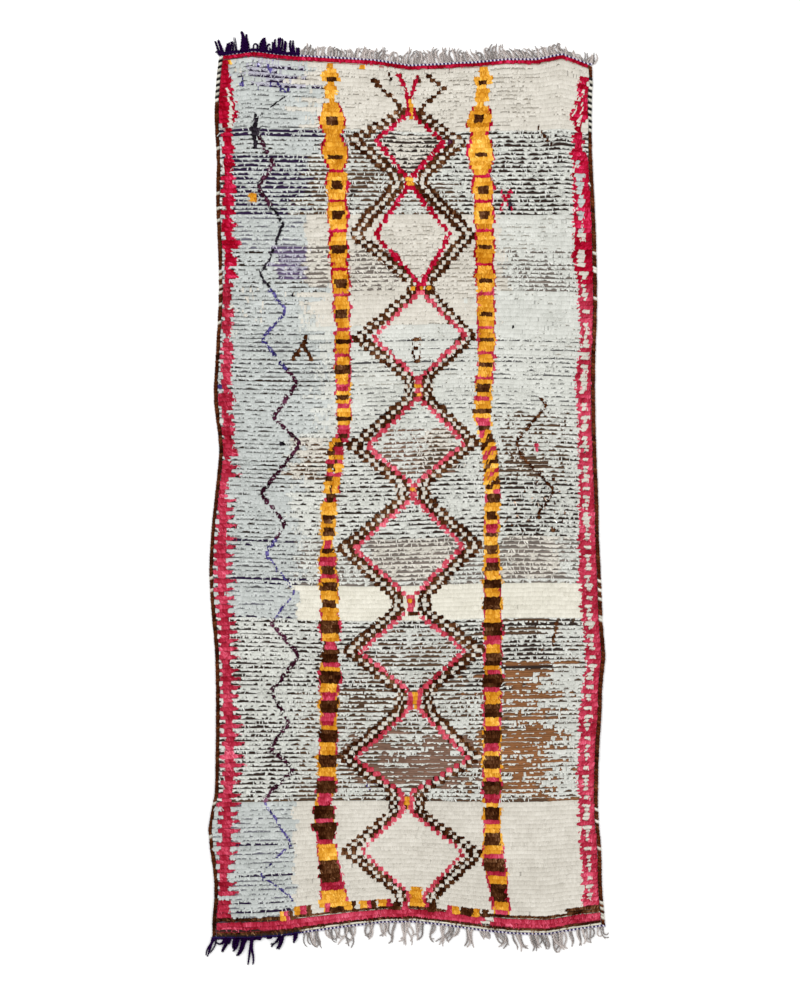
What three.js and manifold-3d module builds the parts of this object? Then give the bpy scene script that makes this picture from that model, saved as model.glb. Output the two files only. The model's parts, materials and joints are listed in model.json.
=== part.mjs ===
// A hand-knotted wool runner rug lying flat, with overcast sides and twined, fringed ends.
// Millimetres: X runs across the rug, Y along it from the foot end to the head end, Z up from the floor.
// The underside of every piece lies on the floor, and the middle of the whole rug is the origin.
import * as THREE from 'three';
import { mergeVertices } from 'three/addons/utils/BufferGeometryUtils.js';
import Module from 'manifold-3d';

const wasm = await Module();
wasm.setup();

// Driving dimensions
const KNOT_ROWS = 204;        // rows of knots from end to end, each raised as a rib
const RIDGE = 12;             // thickness on the crest of a knot row
const GROOVE = 9;             // thickness between two rows, where the weft lies
const EDGE_RIDGE = 10;        // the crests are a little lower beside the selvedges
const LUMP = 0.7;             // how far a crest rises or falls by hand
const WORN_FADE = 0.3;        // share of a worn patch's size over which its wear fades
const GROOVE_WEAR = 0.4;      // a groove wears down this share as deep as a crest
const SELVEDGE_WIDE = 13;     // overcast cord along each side
const SELVEDGE_HIGH = 10;     // thickness of that cord on its crest
const STRIP_WIDE = 6;         // twined strip along each end
const STRIP_HIGH = 6;         // thickness of that strip
const GAP = 0.4;              // clearance between two pieces
const WAVE_REACH = 240;       // how far in from an end the rows still follow its waves
const ROW_SWAY = 6;           // slow sway of the rows in the middle of the rug
const STATION_STEP = 8;       // lines of the field for one station of its side edge
const LOCK_HIGH = 4.2;        // height of a fringe lock where it leaves its strip
const LOCK_ROOT = 2.5;        // length of a lock that is worked into its strip
const LOCK_SPACE = 1.1;       // free room between two locks of one clump

const WOOL = {
  field: 0xd2d3c6, selvedge: 0x4a3018, purple: 0x2c1444, grey: 0xb3aea8,
};

// Outer outline of the sides: how far across the edge lies, at places along the rug
const LEFT_SIDE = [
  { along: -1314, across: -583 }, { along: -1242, across: -582 }, { along: -1184, across: -576 },
  { along: -1128, across: -578 }, { along: -1026, across: -592 }, { along: -960, across: -594 },
  { along: -902, across: -578 }, { along: -822, across: -574 }, { along: -600, across: -572 },
  { along: -450, across: -575 }, { along: -312, across: -587 }, { along: -210, across: -592 },
  { along: -90, across: -586 }, { along: 6, across: -576 }, { along: 108, across: -565 },
  { along: 162, across: -562 }, { along: 270, across: -575 }, { along: 315, across: -579 },
  { along: 426, across: -573 }, { along: 648, across: -563 }, { along: 921, across: -572 },
  { along: 1002, across: -569 }, { along: 1158, across: -576 }, { along: 1269, across: -570 },
  { along: 1332, across: -562 },
];
const RIGHT_SIDE = [
  { along: -1279, across: 597 }, { along: -1221, across: 592 }, { along: -1146, across: 586 },
  { along: -1050, across: 585 }, { along: -933, across: 575 }, { along: -744, across: 578 },
  { along: -648, across: 585 }, { along: -549, across: 588 }, { along: -465, across: 597 },
  { along: -375, across: 589 }, { along: -231, across: 584 }, { along: -120, across: 578 },
  { along: 0, across: 576 }, { along: 168, across: 569 }, { along: 390, across: 566 },
  { along: 585, across: 572 }, { along: 774, across: 569 }, { along: 900, across: 564 },
  { along: 1047, across: 557 }, { along: 1200, across: 556 }, { along: 1269, across: 559 },
  { along: 1311, across: 556 },
];

// Outer outline of the ends, at shares of the rug's width
const ENDS = [
  { share: 0.00, foot: -1315, head: 1332 }, { share: 0.08, foot: -1315, head: 1344 },
  { share: 0.16, foot: -1309, head: 1334 }, { share: 0.25, foot: -1294, head: 1327 },
  { share: 0.34, foot: -1280, head: 1322 }, { share: 0.43, foot: -1268, head: 1315 },
  { share: 0.51, foot: -1266, head: 1300 }, { share: 0.60, foot: -1277, head: 1305 },
  { share: 0.69, foot: -1292, head: 1310 }, { share: 0.775, foot: -1302, head: 1319 },
  { share: 0.86, foot: -1304, head: 1319 }, { share: 0.93, foot: -1290, head: 1335 },
  { share: 1.00, foot: -1279, head: 1305 },
];

// Places where the pile is worn down to the weft: centre, half width, half length and depth of wear
const WORN = [
  { across: 380, along: -184, wide: 90, long: 75, deep: 2.4 },
  { across: 400, along: -699, wide: 85, long: 190, deep: 2.6 },
  { across: 20, along: -189, wide: 110, long: 65, deep: 1.8 },
  { across: 30, along: -769, wide: 120, long: 90, deep: 1.8 },
  { across: -100, along: 1021, wide: 90, long: 80, deep: 1.8 },
  { across: -360, along: 731, wide: 60, long: 50, deep: 1.6 },
  { across: 60, along: -1139, wide: 160, long: 70, deep: 1.4 },
  { across: 420, along: 1171, wide: 90, long: 80, deep: 1.2 },
];

// Fringe clumps: where each is rooted, its count of locks, their width, how far they reach
// straight out from the strip, and how far their tips are swept across
const HEAD_PURPLE = [
  { from: -563, to: -526, locks: 4, wide: 6.5, reach: 36, sweep: -14 },
  { from: -521, to: -505, locks: 2, wide: 5, reach: 41, sweep: -10 },
  { from: -500, to: -468, locks: 4, wide: 6, reach: 54, sweep: -8 },
  { from: -463, to: -441, locks: 2, wide: 4, reach: 42, sweep: -4 },
  { from: -436, to: -412, locks: 3, wide: 6, reach: 42, sweep: 8 },
  { from: -404, to: -376, locks: 4, wide: 5, reach: 44, sweep: 2 },
  { from: -368, to: -357, locks: 1, wide: 7, reach: 36, sweep: -5 },
  { from: -348, to: -322, locks: 3, wide: 6.5, reach: 34, sweep: -3 },
];
const HEAD_GREY = [
  { from: -317, to: -228, locks: 10, wide: 5, reach: 38, sweep: 2 },
  { from: -224, to: -160, locks: 7, wide: 5, reach: 36, sweep: 0 },
  { from: -155, to: -110, locks: 5, wide: 5, reach: 40, sweep: 8 },
  { from: -104, to: -58, locks: 5, wide: 5, reach: 42, sweep: 12 },
  { from: -48, to: -12, locks: 4, wide: 5, reach: 38, sweep: 4 },
  { from: -6, to: 30, locks: 4, wide: 5, reach: 50, sweep: 6 },
  { from: 40, to: 74, locks: 4, wide: 5, reach: 48, sweep: -4 },
  { from: 82, to: 112, locks: 3, wide: 5, reach: 54, sweep: -16 },
  { from: 118, to: 162, locks: 5, wide: 5, reach: 44, sweep: -18 },
  { from: 167, to: 232, locks: 7, wide: 5, reach: 40, sweep: -16 },
  { from: 238, to: 292, locks: 6, wide: 5, reach: 44, sweep: -18 },
  { from: 298, to: 382, locks: 9, wide: 5, reach: 38, sweep: -14 },
  { from: 388, to: 470, locks: 9, wide: 5, reach: 36, sweep: -16 },
  { from: 476, to: 528, locks: 6, wide: 5, reach: 30, sweep: -10 },
  { from: 534, to: 556, locks: 3, wide: 5, reach: 34, sweep: 6 },
];
const FOOT_PURPLE = [
  { from: -583, to: -568, locks: 2, wide: 4, reach: 60, sweep: -24 },
  { from: -550, to: -534, locks: 2, wide: 5, reach: 38, sweep: -22 },
  { from: -531, to: -525, locks: 1, wide: 4, reach: 17, sweep: -10 },
  { from: -513, to: -499, locks: 1, wide: 10, reach: 34, sweep: -18 },
  { from: -492, to: -475, locks: 1, wide: 12, reach: 48, sweep: -22 },
  { from: -466, to: -456, locks: 1, wide: 8, reach: 76, sweep: -6 },
  { from: -419, to: -405, locks: 1, wide: 11, reach: 12, sweep: -4 },
  { from: -386, to: -366, locks: 2, wide: 8, reach: 40, sweep: -26 },
  { from: -341, to: -326, locks: 1, wide: 11, reach: 34, sweep: -5 },
];
const FOOT_GREY = [
  { from: -312, to: -262, locks: 5, wide: 6, reach: 54, sweep: 22 },
  { from: -246, to: -196, locks: 4, wide: 6, reach: 48, sweep: 4 },
  { from: -186, to: -152, locks: 3, wide: 7, reach: 68, sweep: -14 },
  { from: -122, to: -94, locks: 2, wide: 8, reach: 62, sweep: -8 },
  { from: -84, to: -48, locks: 3, wide: 7, reach: 54, sweep: -4 },
  { from: -40, to: -26, locks: 1, wide: 8, reach: 74, sweep: -2 },
  { from: -16, to: 14, locks: 3, wide: 7, reach: 74, sweep: 4 },
  { from: 24, to: 56, locks: 2, wide: 8, reach: 60, sweep: -3 },
  { from: 76, to: 88, locks: 1, wide: 8, reach: 54, sweep: -22 },
  { from: 100, to: 144, locks: 4, wide: 7, reach: 60, sweep: -16 },
  { from: 152, to: 164, locks: 1, wide: 7, reach: 46, sweep: -22 },
  { from: 174, to: 206, locks: 2, wide: 8, reach: 58, sweep: 3 },
  { from: 214, to: 246, locks: 3, wide: 6, reach: 36, sweep: 10 },
  { from: 260, to: 300, locks: 3, wide: 7, reach: 58, sweep: 12 },
  { from: 312, to: 346, locks: 3, wide: 7, reach: 58, sweep: 18 },
  { from: 366, to: 420, locks: 5, wide: 7, reach: 56, sweep: 14 },
  { from: 428, to: 474, locks: 4, wide: 8, reach: 66, sweep: 10 },
  { from: 486, to: 498, locks: 1, wide: 7, reach: 52, sweep: 0 },
  { from: 508, to: 560, locks: 4, wide: 7, reach: 56, sweep: 6 },
  { from: 572, to: 594, locks: 2, wide: 6, reach: 44, sweep: 10 },
];
const STRIP_CHANGE = { head: -320, foot: -318 };   // where the purple strip meets the grey one

const LINES = 2 * KNOT_ROWS;                       // a crest and a groove for each row
const HEAD_MEAN = ENDS.reduce((sum, end) => sum + end.head, 0) / ENDS.length;
const FOOT_MEAN = ENDS.reduce((sum, end) => sum + end.foot, 0) / ENDS.length;
const INSET = STRIP_WIDE + GAP;                    // from the outline to the field's own end

// Same small number between -1 and 1 for the same pair of counts
function unevenness(a, b) {
  const value = Math.sin(a * 12.9898 + b * 78.233) * 43758.5453;
  return 2 * (value - Math.floor(value)) - 1;
}

// Smooth curve through a table's rows: the value of one column where another has a given value
function through(table, column, value, result) {
  const last = table.length - 2;
  let i = table.findIndex((row) => row[column] > value) - 1;
  if (i < 0) i = value < table[0][column] ? 0 : last;
  const slope = (k) => {
    const before = table[Math.max(k - 1, 0)];
    const after = table[Math.min(k + 1, table.length - 1)];
    return (after[result] - before[result]) / (after[column] - before[column]);
  };
  const start = table[i];
  const end = table[i + 1];
  const span = end[column] - start[column];
  const t = THREE.MathUtils.clamp((value - start[column]) / span, 0, 1);
  const hold = 2 * t ** 3 - 3 * t ** 2;
  return start[result] * (1 + hold) - end[result] * hold
    + span * (slope(i) * (t ** 3 - 2 * t ** 2 + t) + slope(i + 1) * (t ** 3 - t ** 2));
}

// Straight lines between a list's points, read at a given value
function between(points, column, value, result) {
  let i = points.findIndex((point) => point[column] > value) - 1;
  if (i < 0) i = value < points[0][column] ? 0 : points.length - 2;
  const start = points[i];
  const end = points[i + 1];
  const t = (value - start[column]) / (end[column] - start[column]);
  return start[result] + t * (end[result] - start[result]);
}

// Place along the rug of a line of the field, at one of the widths given in ENDS
function lineAlong(end, line) {
  const t = line / LINES;
  const length = HEAD_MEAN - FOOT_MEAN;
  const flat = FOOT_MEAN + INSET + t * (length - 2 * INSET);
  const headWave = (end.head - HEAD_MEAN) * Math.exp(-(1 - t) * length / WAVE_REACH);
  const footWave = (end.foot - FOOT_MEAN) * Math.exp(-t * length / WAVE_REACH);
  const sway = ROW_SWAY * Math.sin(Math.PI * t) * Math.sin(7 * end.share + 5 * t);
  return flat + headWave + footWave + sway;
}

// Stations of the field's side edge, which the selvedge beside it shares
function sideStations(table, end, inward) {
  const stations = [];
  for (let line = 0; line <= LINES; line += STATION_STEP) {
    const along = lineAlong(end, line);
    const across = through(table, 'along', along, 'across') + inward * (SELVEDGE_WIDE + GAP);
    stations.push({ along, across });
  }
  return stations;
}

const leftStations = sideStations(LEFT_SIDE, ENDS[0], 1);
const rightStations = sideStations(RIGHT_SIDE, ENDS.at(-1), -1);

// Point of the field on a line and at one of the widths
function fieldPlace(column, line) {
  const along = lineAlong(ENDS[column], line);
  const left = between(leftStations, 'along', lineAlong(ENDS[0], line), 'across');
  const right = between(rightStations, 'along', lineAlong(ENDS.at(-1), line), 'across');
  return { across: left + ENDS[column].share * (right - left), along };
}

// Depth of wear at a place of the field, full in the middle of a patch and fading past its rim
function wearAt(place) {
  return WORN.reduce((deepest, patch) => {
    const off = Math.hypot((place.across - patch.across) / patch.wide,
      (place.along - patch.along) / patch.long);
    const fade = THREE.MathUtils.smoothstep(off, 1 - WORN_FADE, 1 + WORN_FADE);
    return Math.max(deepest, patch.deep * (1 - fade));
  }, 0);
}

// Thickness of the field: a crest or a groove, uneven by hand and thinner where it is worn
function fieldHeight(column, line, place) {
  const wear = wearAt(place);
  const isCrest = line % 2 === 1;
  if (!isCrest) return GROOVE - wear * GROOVE_WEAR;
  const atSide = column === 0 || column === ENDS.length - 1;
  return (atSide ? EDGE_RIDGE : RIDGE) + LUMP * unevenness(column, line) - wear;
}

// Closed body from points and triangles, turned right side out if it isn't yet
function body(points, triangles) {
  const volume = triangles.reduce((sum, [a, b, c]) => (
    sum + points[a].dot(new THREE.Vector3().crossVectors(points[b], points[c]))), 0);
  const geometry = new THREE.BufferGeometry().setFromPoints(points);
  const outward = volume > 0 ? triangles : triangles.map(([a, b, c]) => [a, c, b]);
  geometry.setIndex(outward.flat());
  geometry.computeVertexNormals();
  return geometry;
}

// Closed body through a row of rings of points, the last of which may be a single point
function loft(rings) {
  const sides = rings[0].length;
  const last = (rings.length - 1) * sides;
  const triangles = [];
  for (let i = 0; i < rings.length - 1; i += 1) {
    const here = i * sides;
    const next = here + sides;
    for (let k = 0; k < sides; k += 1) {
      const on = (k + 1) % sides;
      if (rings[i + 1].length === 1) {
        triangles.push([here + k, next, here + on]);
      } else {
        triangles.push([here + k, next + k, here + on], [here + on, next + k, next + on]);
      }
    }
  }
  for (let k = 1; k < sides - 1; k += 1) {
    triangles.push([0, k, k + 1]);
    if (rings.at(-1).length > 1) triangles.push([last, last + k + 1, last + k]);
  }
  return body(rings.flat(), triangles);
}

// The knotted field: one flat slab whose upper side is ribbed by the rows of knots
function makeField() {
  const columns = ENDS.length;
  const points = [];
  const top = (column, line) => line * columns + column;
  for (let line = 0; line <= LINES; line += 1) {
    for (let column = 0; column < columns; column += 1) {
      const place = fieldPlace(column, line);
      points.push(new THREE.Vector3(place.across, place.along, fieldHeight(column, line, place)));
    }
  }
  const triangles = [];
  for (let line = 0; line < LINES; line += 1) {
    for (let column = 0; column < columns - 1; column += 1) {
      const a = top(column, line);
      const b = top(column + 1, line);
      const c = top(column + 1, line + 1);
      const d = top(column, line + 1);
      triangles.push([a, b, c], [a, c, d]);
    }
  }
  const floorOf = new Map();
  const floor = (index) => {
    if (!floorOf.has(index)) {
      floorOf.set(index, points.length);
      points.push(new THREE.Vector3(points[index].x, points[index].y, 0));
    }
    return floorOf.get(index);
  };
  // Wall under a run of top points that stands on the straight line between its first and last
  const wall = (run) => {
    const start = floor(run[0]);
    const end = floor(run.at(-1));
    const half = Math.floor((run.length - 1) / 2);
    for (let k = 0; k < run.length - 1; k += 1) {
      triangles.push([k < half ? start : end, run[k + 1], run[k]]);
    }
    triangles.push([start, end, run[half]]);
  };
  const last = columns - 1;
  const runs = [];
  for (let column = 0; column < last; column += 1) {
    runs.push([top(column, 0), top(column + 1, 0)]);
  }
  for (let line = 0; line < LINES; line += STATION_STEP) {
    runs.push(Array.from({ length: STATION_STEP + 1 }, (_, k) => top(last, line + k)));
  }
  for (let column = last; column > 0; column -= 1) {
    runs.push([top(column, LINES), top(column - 1, LINES)]);
  }
  for (let line = LINES; line > 0; line -= STATION_STEP) {
    runs.push(Array.from({ length: STATION_STEP + 1 }, (_, k) => top(0, line - k)));
  }
  runs.forEach(wall);
  const rim = runs.map((run) => floor(run[0]));
  const outline = rim.map((index) => new THREE.Vector2(points[index].x, points[index].y));
  THREE.ShapeUtils.triangulateShape(outline, []).forEach(([a, b, c]) => {
    triangles.push([rim[a], rim[c], rim[b]]);
  });
  return body(points, triangles);
}

// Overcast cord along one side, flat below, swelling and thinning a little with its stitches
function makeSelvedge(stations, outward) {
  const rings = stations.map(({ across, along }, k) => {
    const near = across + outward * GAP;
    const far = near + outward * SELVEDGE_WIDE;
    const high = SELVEDGE_HIGH + LUMP * unevenness(k, outward);
    const at = (share, height) => (
      new THREE.Vector3(near + share * (far - near), along, height * high));
    return [at(0, 0), at(0, 0.75), at(0.3, 1), at(0.7, 1), at(1, 0.6), at(0.92, 0)];
  });
  return loft(rings);
}

// Inner edge of an end strip, along the field's end and across both selvedges
function stripLine(end) {
  const line = end === 'head' ? LINES : 0;
  const outward = end === 'head' ? 1 : -1;
  const places = ENDS.map((_, column) => fieldPlace(column, line));
  const past = SELVEDGE_WIDE + GAP;
  const corners = [places[0], places.at(-1)];
  return [
    { across: corners[0].across - past, along: corners[0].along },
    ...places,
    { across: corners[1].across + past, along: corners[1].along },
  ].map(({ across, along }) => ({ across, along: along + outward * GAP }));
}

// Stretch of an end strip between two places across the rug
function makeStrip(line, from, to, outward) {
  const inside = line.filter(({ across }) => across > from && across < to);
  const stops = [from, ...inside.map(({ across }) => across), to];
  return loft(stops.map((across) => {
    const along = between(line, 'across', across, 'along');
    const at = (share, height) => (
      new THREE.Vector3(across, along + outward * share * STRIP_WIDE, height * STRIP_HIGH));
    return [at(0, 0), at(0, 1), at(0.85, 1), at(1, 0.7), at(1, 0)];
  }));
}

// One three-sided lock of fringe that leaves its strip and rests level on the floor
function makeLock(root, wide, reach, sweep, outward) {
  const sections = [
    { share: -LOCK_ROOT / reach, width: 1, height: 1 },
    { share: 0.4, width: 0.95, height: 0.9 },
    { share: 0.75, width: 0.8, height: 0.7 },
  ];
  const swept = (share) => sweep * Math.max(share, 0) ** 1.4;
  const rings = sections.map(({ share, width, height }) => {
    const across = root.across + swept(share);
    const along = root.along + outward * reach * share;
    const half = wide * width / 2;
    return [
      new THREE.Vector3(across - half, along, 0),
      new THREE.Vector3(across, along, height * LOCK_HIGH),
      new THREE.Vector3(across + half, along, 0),
    ];
  });
  rings.push([new THREE.Vector3(root.across + sweep, root.along + outward * reach, 0)]);
  return loft(rings);
}

// Locks of one table, rooted in the outer side of the strip's line
function makeLocks(clumps, line, outward) {
  return clumps.flatMap(({ from, to, locks, wide, reach, sweep }, row) => (
    Array.from({ length: locks }, (_, k) => {
      const across = from + (to - from) * (k + 0.5) / locks;
      const along = between(line, 'across', across, 'along') + outward * STRIP_WIDE;
      const width = Math.min(wide, (to - from) / locks - LOCK_SPACE);
      const length = reach * (1 - 0.12 * Math.abs(unevenness(row, k)));
      return makeLock({ across, along }, width, length, sweep, outward);
    })));
}

function toSolid(geometry) {
  const bare = geometry.clone();
  bare.deleteAttribute('normal');
  const merged = mergeVertices(bare, 1e-4);
  return new wasm.Manifold(new wasm.Mesh({
    numProp: 3,
    vertProperties: new Float32Array(merged.attributes.position.array),
    triVerts: new Uint32Array(merged.index.array),
  }));
}

function toGeometry(solid) {
  const mesh = solid.getMesh();
  const geometry = new THREE.BufferGeometry();
  geometry.setAttribute('position', new THREE.BufferAttribute(mesh.vertProperties, 3));
  geometry.setIndex(new THREE.BufferAttribute(mesh.triVerts, 1));
  geometry.computeVertexNormals();
  return geometry;
}

// A strip with its fringe, joined into one body
function makeFringe(end, from, to, clumps) {
  const line = stripLine(end);
  const outward = end === 'head' ? 1 : -1;
  const start = Math.max(from, line[0].across);
  const stop = Math.min(to, line.at(-1).across);
  const strip = toSolid(makeStrip(line, start, stop, outward));
  const locks = makeLocks(clumps, line, outward).map(toSolid);
  return toGeometry(locks.reduce((sum, lock) => sum.add(lock), strip));
}

const group = new THREE.Group();

function addPiece(name, geometry, color) {
  const material = new THREE.MeshStandardMaterial({ color, roughness: 0.95, metalness: 0 });
  const mesh = new THREE.Mesh(geometry, material);
  mesh.name = name;
  group.add(mesh);
}

const { head, foot } = STRIP_CHANGE;
addPiece('field', makeField(), WOOL.field);
addPiece('left_selvedge', makeSelvedge(leftStations, -1), WOOL.selvedge);
addPiece('right_selvedge', makeSelvedge(rightStations, 1), WOOL.selvedge);
addPiece('head_fringe_purple', makeFringe('head', -Infinity, head, HEAD_PURPLE), WOOL.purple);
addPiece('head_fringe_grey', makeFringe('head', head + GAP, Infinity, HEAD_GREY), WOOL.grey);
addPiece('foot_fringe_purple', makeFringe('foot', -Infinity, foot, FOOT_PURPLE), WOOL.purple);
addPiece('foot_fringe_grey', makeFringe('foot', foot + GAP, Infinity, FOOT_GREY), WOOL.grey);

export default group;
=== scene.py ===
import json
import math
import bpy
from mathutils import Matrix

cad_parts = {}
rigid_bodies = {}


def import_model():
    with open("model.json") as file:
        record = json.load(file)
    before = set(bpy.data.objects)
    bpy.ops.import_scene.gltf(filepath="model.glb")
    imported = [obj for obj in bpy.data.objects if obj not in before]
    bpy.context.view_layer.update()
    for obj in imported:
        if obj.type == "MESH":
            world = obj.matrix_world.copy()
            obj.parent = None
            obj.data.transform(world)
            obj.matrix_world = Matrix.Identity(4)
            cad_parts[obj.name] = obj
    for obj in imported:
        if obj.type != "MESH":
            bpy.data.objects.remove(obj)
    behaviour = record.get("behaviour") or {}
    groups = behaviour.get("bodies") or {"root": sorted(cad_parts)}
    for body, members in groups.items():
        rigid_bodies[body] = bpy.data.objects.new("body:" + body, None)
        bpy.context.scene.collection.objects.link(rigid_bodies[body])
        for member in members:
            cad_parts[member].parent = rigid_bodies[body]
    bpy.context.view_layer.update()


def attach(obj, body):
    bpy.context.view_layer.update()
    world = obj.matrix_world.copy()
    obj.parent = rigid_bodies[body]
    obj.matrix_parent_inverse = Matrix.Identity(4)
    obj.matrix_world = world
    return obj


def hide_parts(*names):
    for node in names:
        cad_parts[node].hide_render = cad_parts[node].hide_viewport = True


bl_info = {
    "name": "Azilal Runner Rug",
    "version": (1, 0, 0),
    "blender": (4, 5, 0),
    "location": "3D View > Sidebar > Rug",
    "description": "A hand-knotted wool runner rug: cloth, pile, overcast sides, twined ends and fringes",
    "category": "Add Mesh",
}

from collections import namedtuple
from functools import lru_cache

import bmesh
import bpy
import numpy as np
from bpy.props import FloatProperty, FloatVectorProperty, PointerProperty
from mathutils import Matrix, Vector

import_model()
MM = 0.001

# The grid of knots, as the solids have it. Millimetres, X across the rug and Y along it to the head end.
KNOT_ROWS = 204
TUFTS = 300
LINES = 2 * KNOT_ROWS
SELVEDGE_WIDE = 13
SELVEDGE_HIGH = 10
STRIP_WIDE = 6
GAP = 0.4
INSET = STRIP_WIDE + GAP
STATION_STEP = 8
STRIP_STATIONS = 60

# How far the waves of the ends reach into the field, and how the rows between them sway
WAVE_REACH = 240
ROW_SWAY = 6
SWAY_ACROSS = 7
SWAY_ALONG = 5

# How far the visible head end lies outside the solids' one, and how far that reaches into the field
HEAD_RISE = 5
HEAD_RISE_REACH = 90

# Where across the rug the end strips change from purple to grey-white, and the cloth's size once laid flat
STRIP_CHANGE = -320
CLOTH_WIDE = 1150
CLOTH_LONG = 2630


def table(kind, *rows):
    """Rows with the named columns of their kind."""
    return [kind(*row) for row in rows]


# Outer outline of the sides: how far across the edge lies, at places along the rug
Edge = namedtuple("Edge", "along across")
LEFT_SIDE = table(Edge,
    (-1314, -583), (-1242, -582), (-1184, -576), (-1128, -578), (-1026, -592), (-960, -594), (-902, -578),
    (-822, -574), (-600, -572), (-450, -575), (-312, -587), (-210, -592), (-90, -586), (6, -576),
    (108, -565), (162, -562), (270, -575), (315, -579), (426, -573), (648, -563), (921, -572), (1002, -569),
    (1158, -576), (1269, -570), (1332, -562))
RIGHT_SIDE = table(Edge,
    (-1279, 597), (-1221, 592), (-1146, 586), (-1050, 585), (-933, 575), (-744, 578), (-648, 585),
    (-549, 588), (-465, 597), (-375, 589), (-231, 584), (-120, 578), (0, 576), (168, 569), (390, 566),
    (585, 572), (774, 569), (900, 564), (1047, 557), (1200, 556), (1269, 559), (1311, 556))

# Outer outline of the ends, at shares of the rug's width
End = namedtuple("End", "share foot head")
ENDS = table(End,
    (0.00, -1315, 1332), (0.08, -1315, 1344), (0.16, -1309, 1334), (0.25, -1294, 1327), (0.34, -1280, 1322),
    (0.43, -1268, 1315), (0.51, -1266, 1300), (0.60, -1277, 1305), (0.69, -1292, 1310),
    (0.775, -1302, 1319), (0.86, -1304, 1319), (0.93, -1290, 1335), (1.00, -1279, 1305))
HEAD_MEAN = sum(end.head for end in ENDS) / len(ENDS)
FOOT_MEAN = sum(end.foot for end in ENDS) / len(ENDS)
ROW_PITCH = (HEAD_MEAN - FOOT_MEAN - 2 * INSET) / KNOT_ROWS


def linear(*levels):
    """Colour of the shader from the usual red, green and blue of 0 to 255."""
    shares = [level / 255 for level in levels]
    return tuple(c / 12.92 if c < 0.04 else ((c + 0.055) / 1.055) ** 2.4 for c in shares)


# Grid of knots

def line_along(share, line):
    """Place along the rug of a line of the field, at a share of its width."""
    shares = [end.share for end in ENDS]
    head = np.interp(share, shares, [end.head for end in ENDS])
    foot = np.interp(share, shares, [end.foot for end in ENDS])
    t = np.asarray(line) / LINES
    whole = HEAD_MEAN - FOOT_MEAN
    flat = FOOT_MEAN + INSET + t * (whole - 2 * INSET)
    head_wave = (head - HEAD_MEAN) * np.exp(-(1 - t) * whole / WAVE_REACH)
    head_wave = head_wave + HEAD_RISE * np.exp(-(1 - t) * whole / HEAD_RISE_REACH)
    foot_wave = (foot - FOOT_MEAN) * np.exp(-t * whole / WAVE_REACH)
    sway = ROW_SWAY * np.sin(math.pi * t) * np.sin(SWAY_ACROSS * share + SWAY_ALONG * t)
    return flat + head_wave + foot_wave + sway


def through(places, values, place):
    """Smooth curve through the values at some places, read at one place."""
    last = len(places) - 2
    i = min(max(int(np.searchsorted(places, place, side="right")) - 1, 0), last)

    def slope(k):
        a, b = max(k - 1, 0), min(k + 1, len(places) - 1)
        return (values[b] - values[a]) / (places[b] - places[a])

    span = places[i + 1] - places[i]
    t = min(max((place - places[i]) / span, 0), 1)
    hold = 2 * t ** 3 - 3 * t ** 2
    bend = slope(i) * (t ** 3 - 2 * t ** 2 + t) + slope(i + 1) * (t ** 3 - t ** 2)
    return values[i] * (1 + hold) - values[i + 1] * hold + span * bend


@lru_cache(maxsize=None)
def side_stations(side):
    """Stations of the field's side edge: where they lie along the rug and across it."""
    edges = LEFT_SIDE if side < 0 else RIGHT_SIDE
    along = line_along(0.0 if side < 0 else 1.0, np.arange(0, LINES + 1, STATION_STEP))
    places = [edge.along for edge in edges]
    values = [edge.across for edge in edges]
    across = [through(places, values, y) - side * (SELVEDGE_WIDE + GAP) for y in along]
    return along, np.array(across)


def field_place(share, line):
    """Point of the field at a share of its width and on a line: across, along."""
    share, line = np.broadcast_arrays(np.asarray(share, float), np.asarray(line, float))
    left = np.interp(line_along(np.zeros_like(share), line), *side_stations(-1))
    right = np.interp(line_along(np.ones_like(share), line), *side_stations(1))
    return left + share * (right - left), line_along(share, line)


def strip_line(outward):
    """Inner edge of an end strip, along the field's end and across both selvedges: across, along."""
    share = np.linspace(0, 1, STRIP_STATIONS + 1)
    across, along = field_place(share, LINES if outward > 0 else 0)
    past = SELVEDGE_WIDE + GAP
    across = np.concatenate(([across[0] - past], across, [across[-1] + past]))
    along = np.concatenate(([along[0]], along, [along[-1]]))
    return across, along + outward * GAP


# Left of every place on the rug, so that a place counts up from it
FAR_LEFT = -650


def drift(seed, across, rows, reach, height=1):
    """Smooth unevenness between -1 and 1 that changes over a reach in millimetres and a height in rows."""
    u = (across - FAR_LEFT) / reach
    v = rows / height
    count = (int(np.max(v)) + 3, int(np.max(u)) + 3)
    grid = np.random.default_rng(seed).uniform(-1, 1, count)
    i, j = np.floor(v).astype(int), np.floor(u).astype(int)
    s, t = v - i, u - j
    s, t = s * s * (3 - 2 * s), t * t * (3 - 2 * t)
    upper = (1 - t) * grid[i, j] + t * grid[i, j + 1]
    lower = (1 - t) * grid[i + 1, j] + t * grid[i + 1, j + 1]
    return (1 - s) * upper + s * lower


def unevenness(a, b):
    """Same small number between -1 and 1 for the same pair of counts."""
    value = math.sin(a * 12.9898 + b * 78.233) * 43758.5453
    return 2 * (value - math.floor(value)) - 1


# Chart of the pattern. Rows are counted from the head end, and places across the rug are millimetres.

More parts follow.
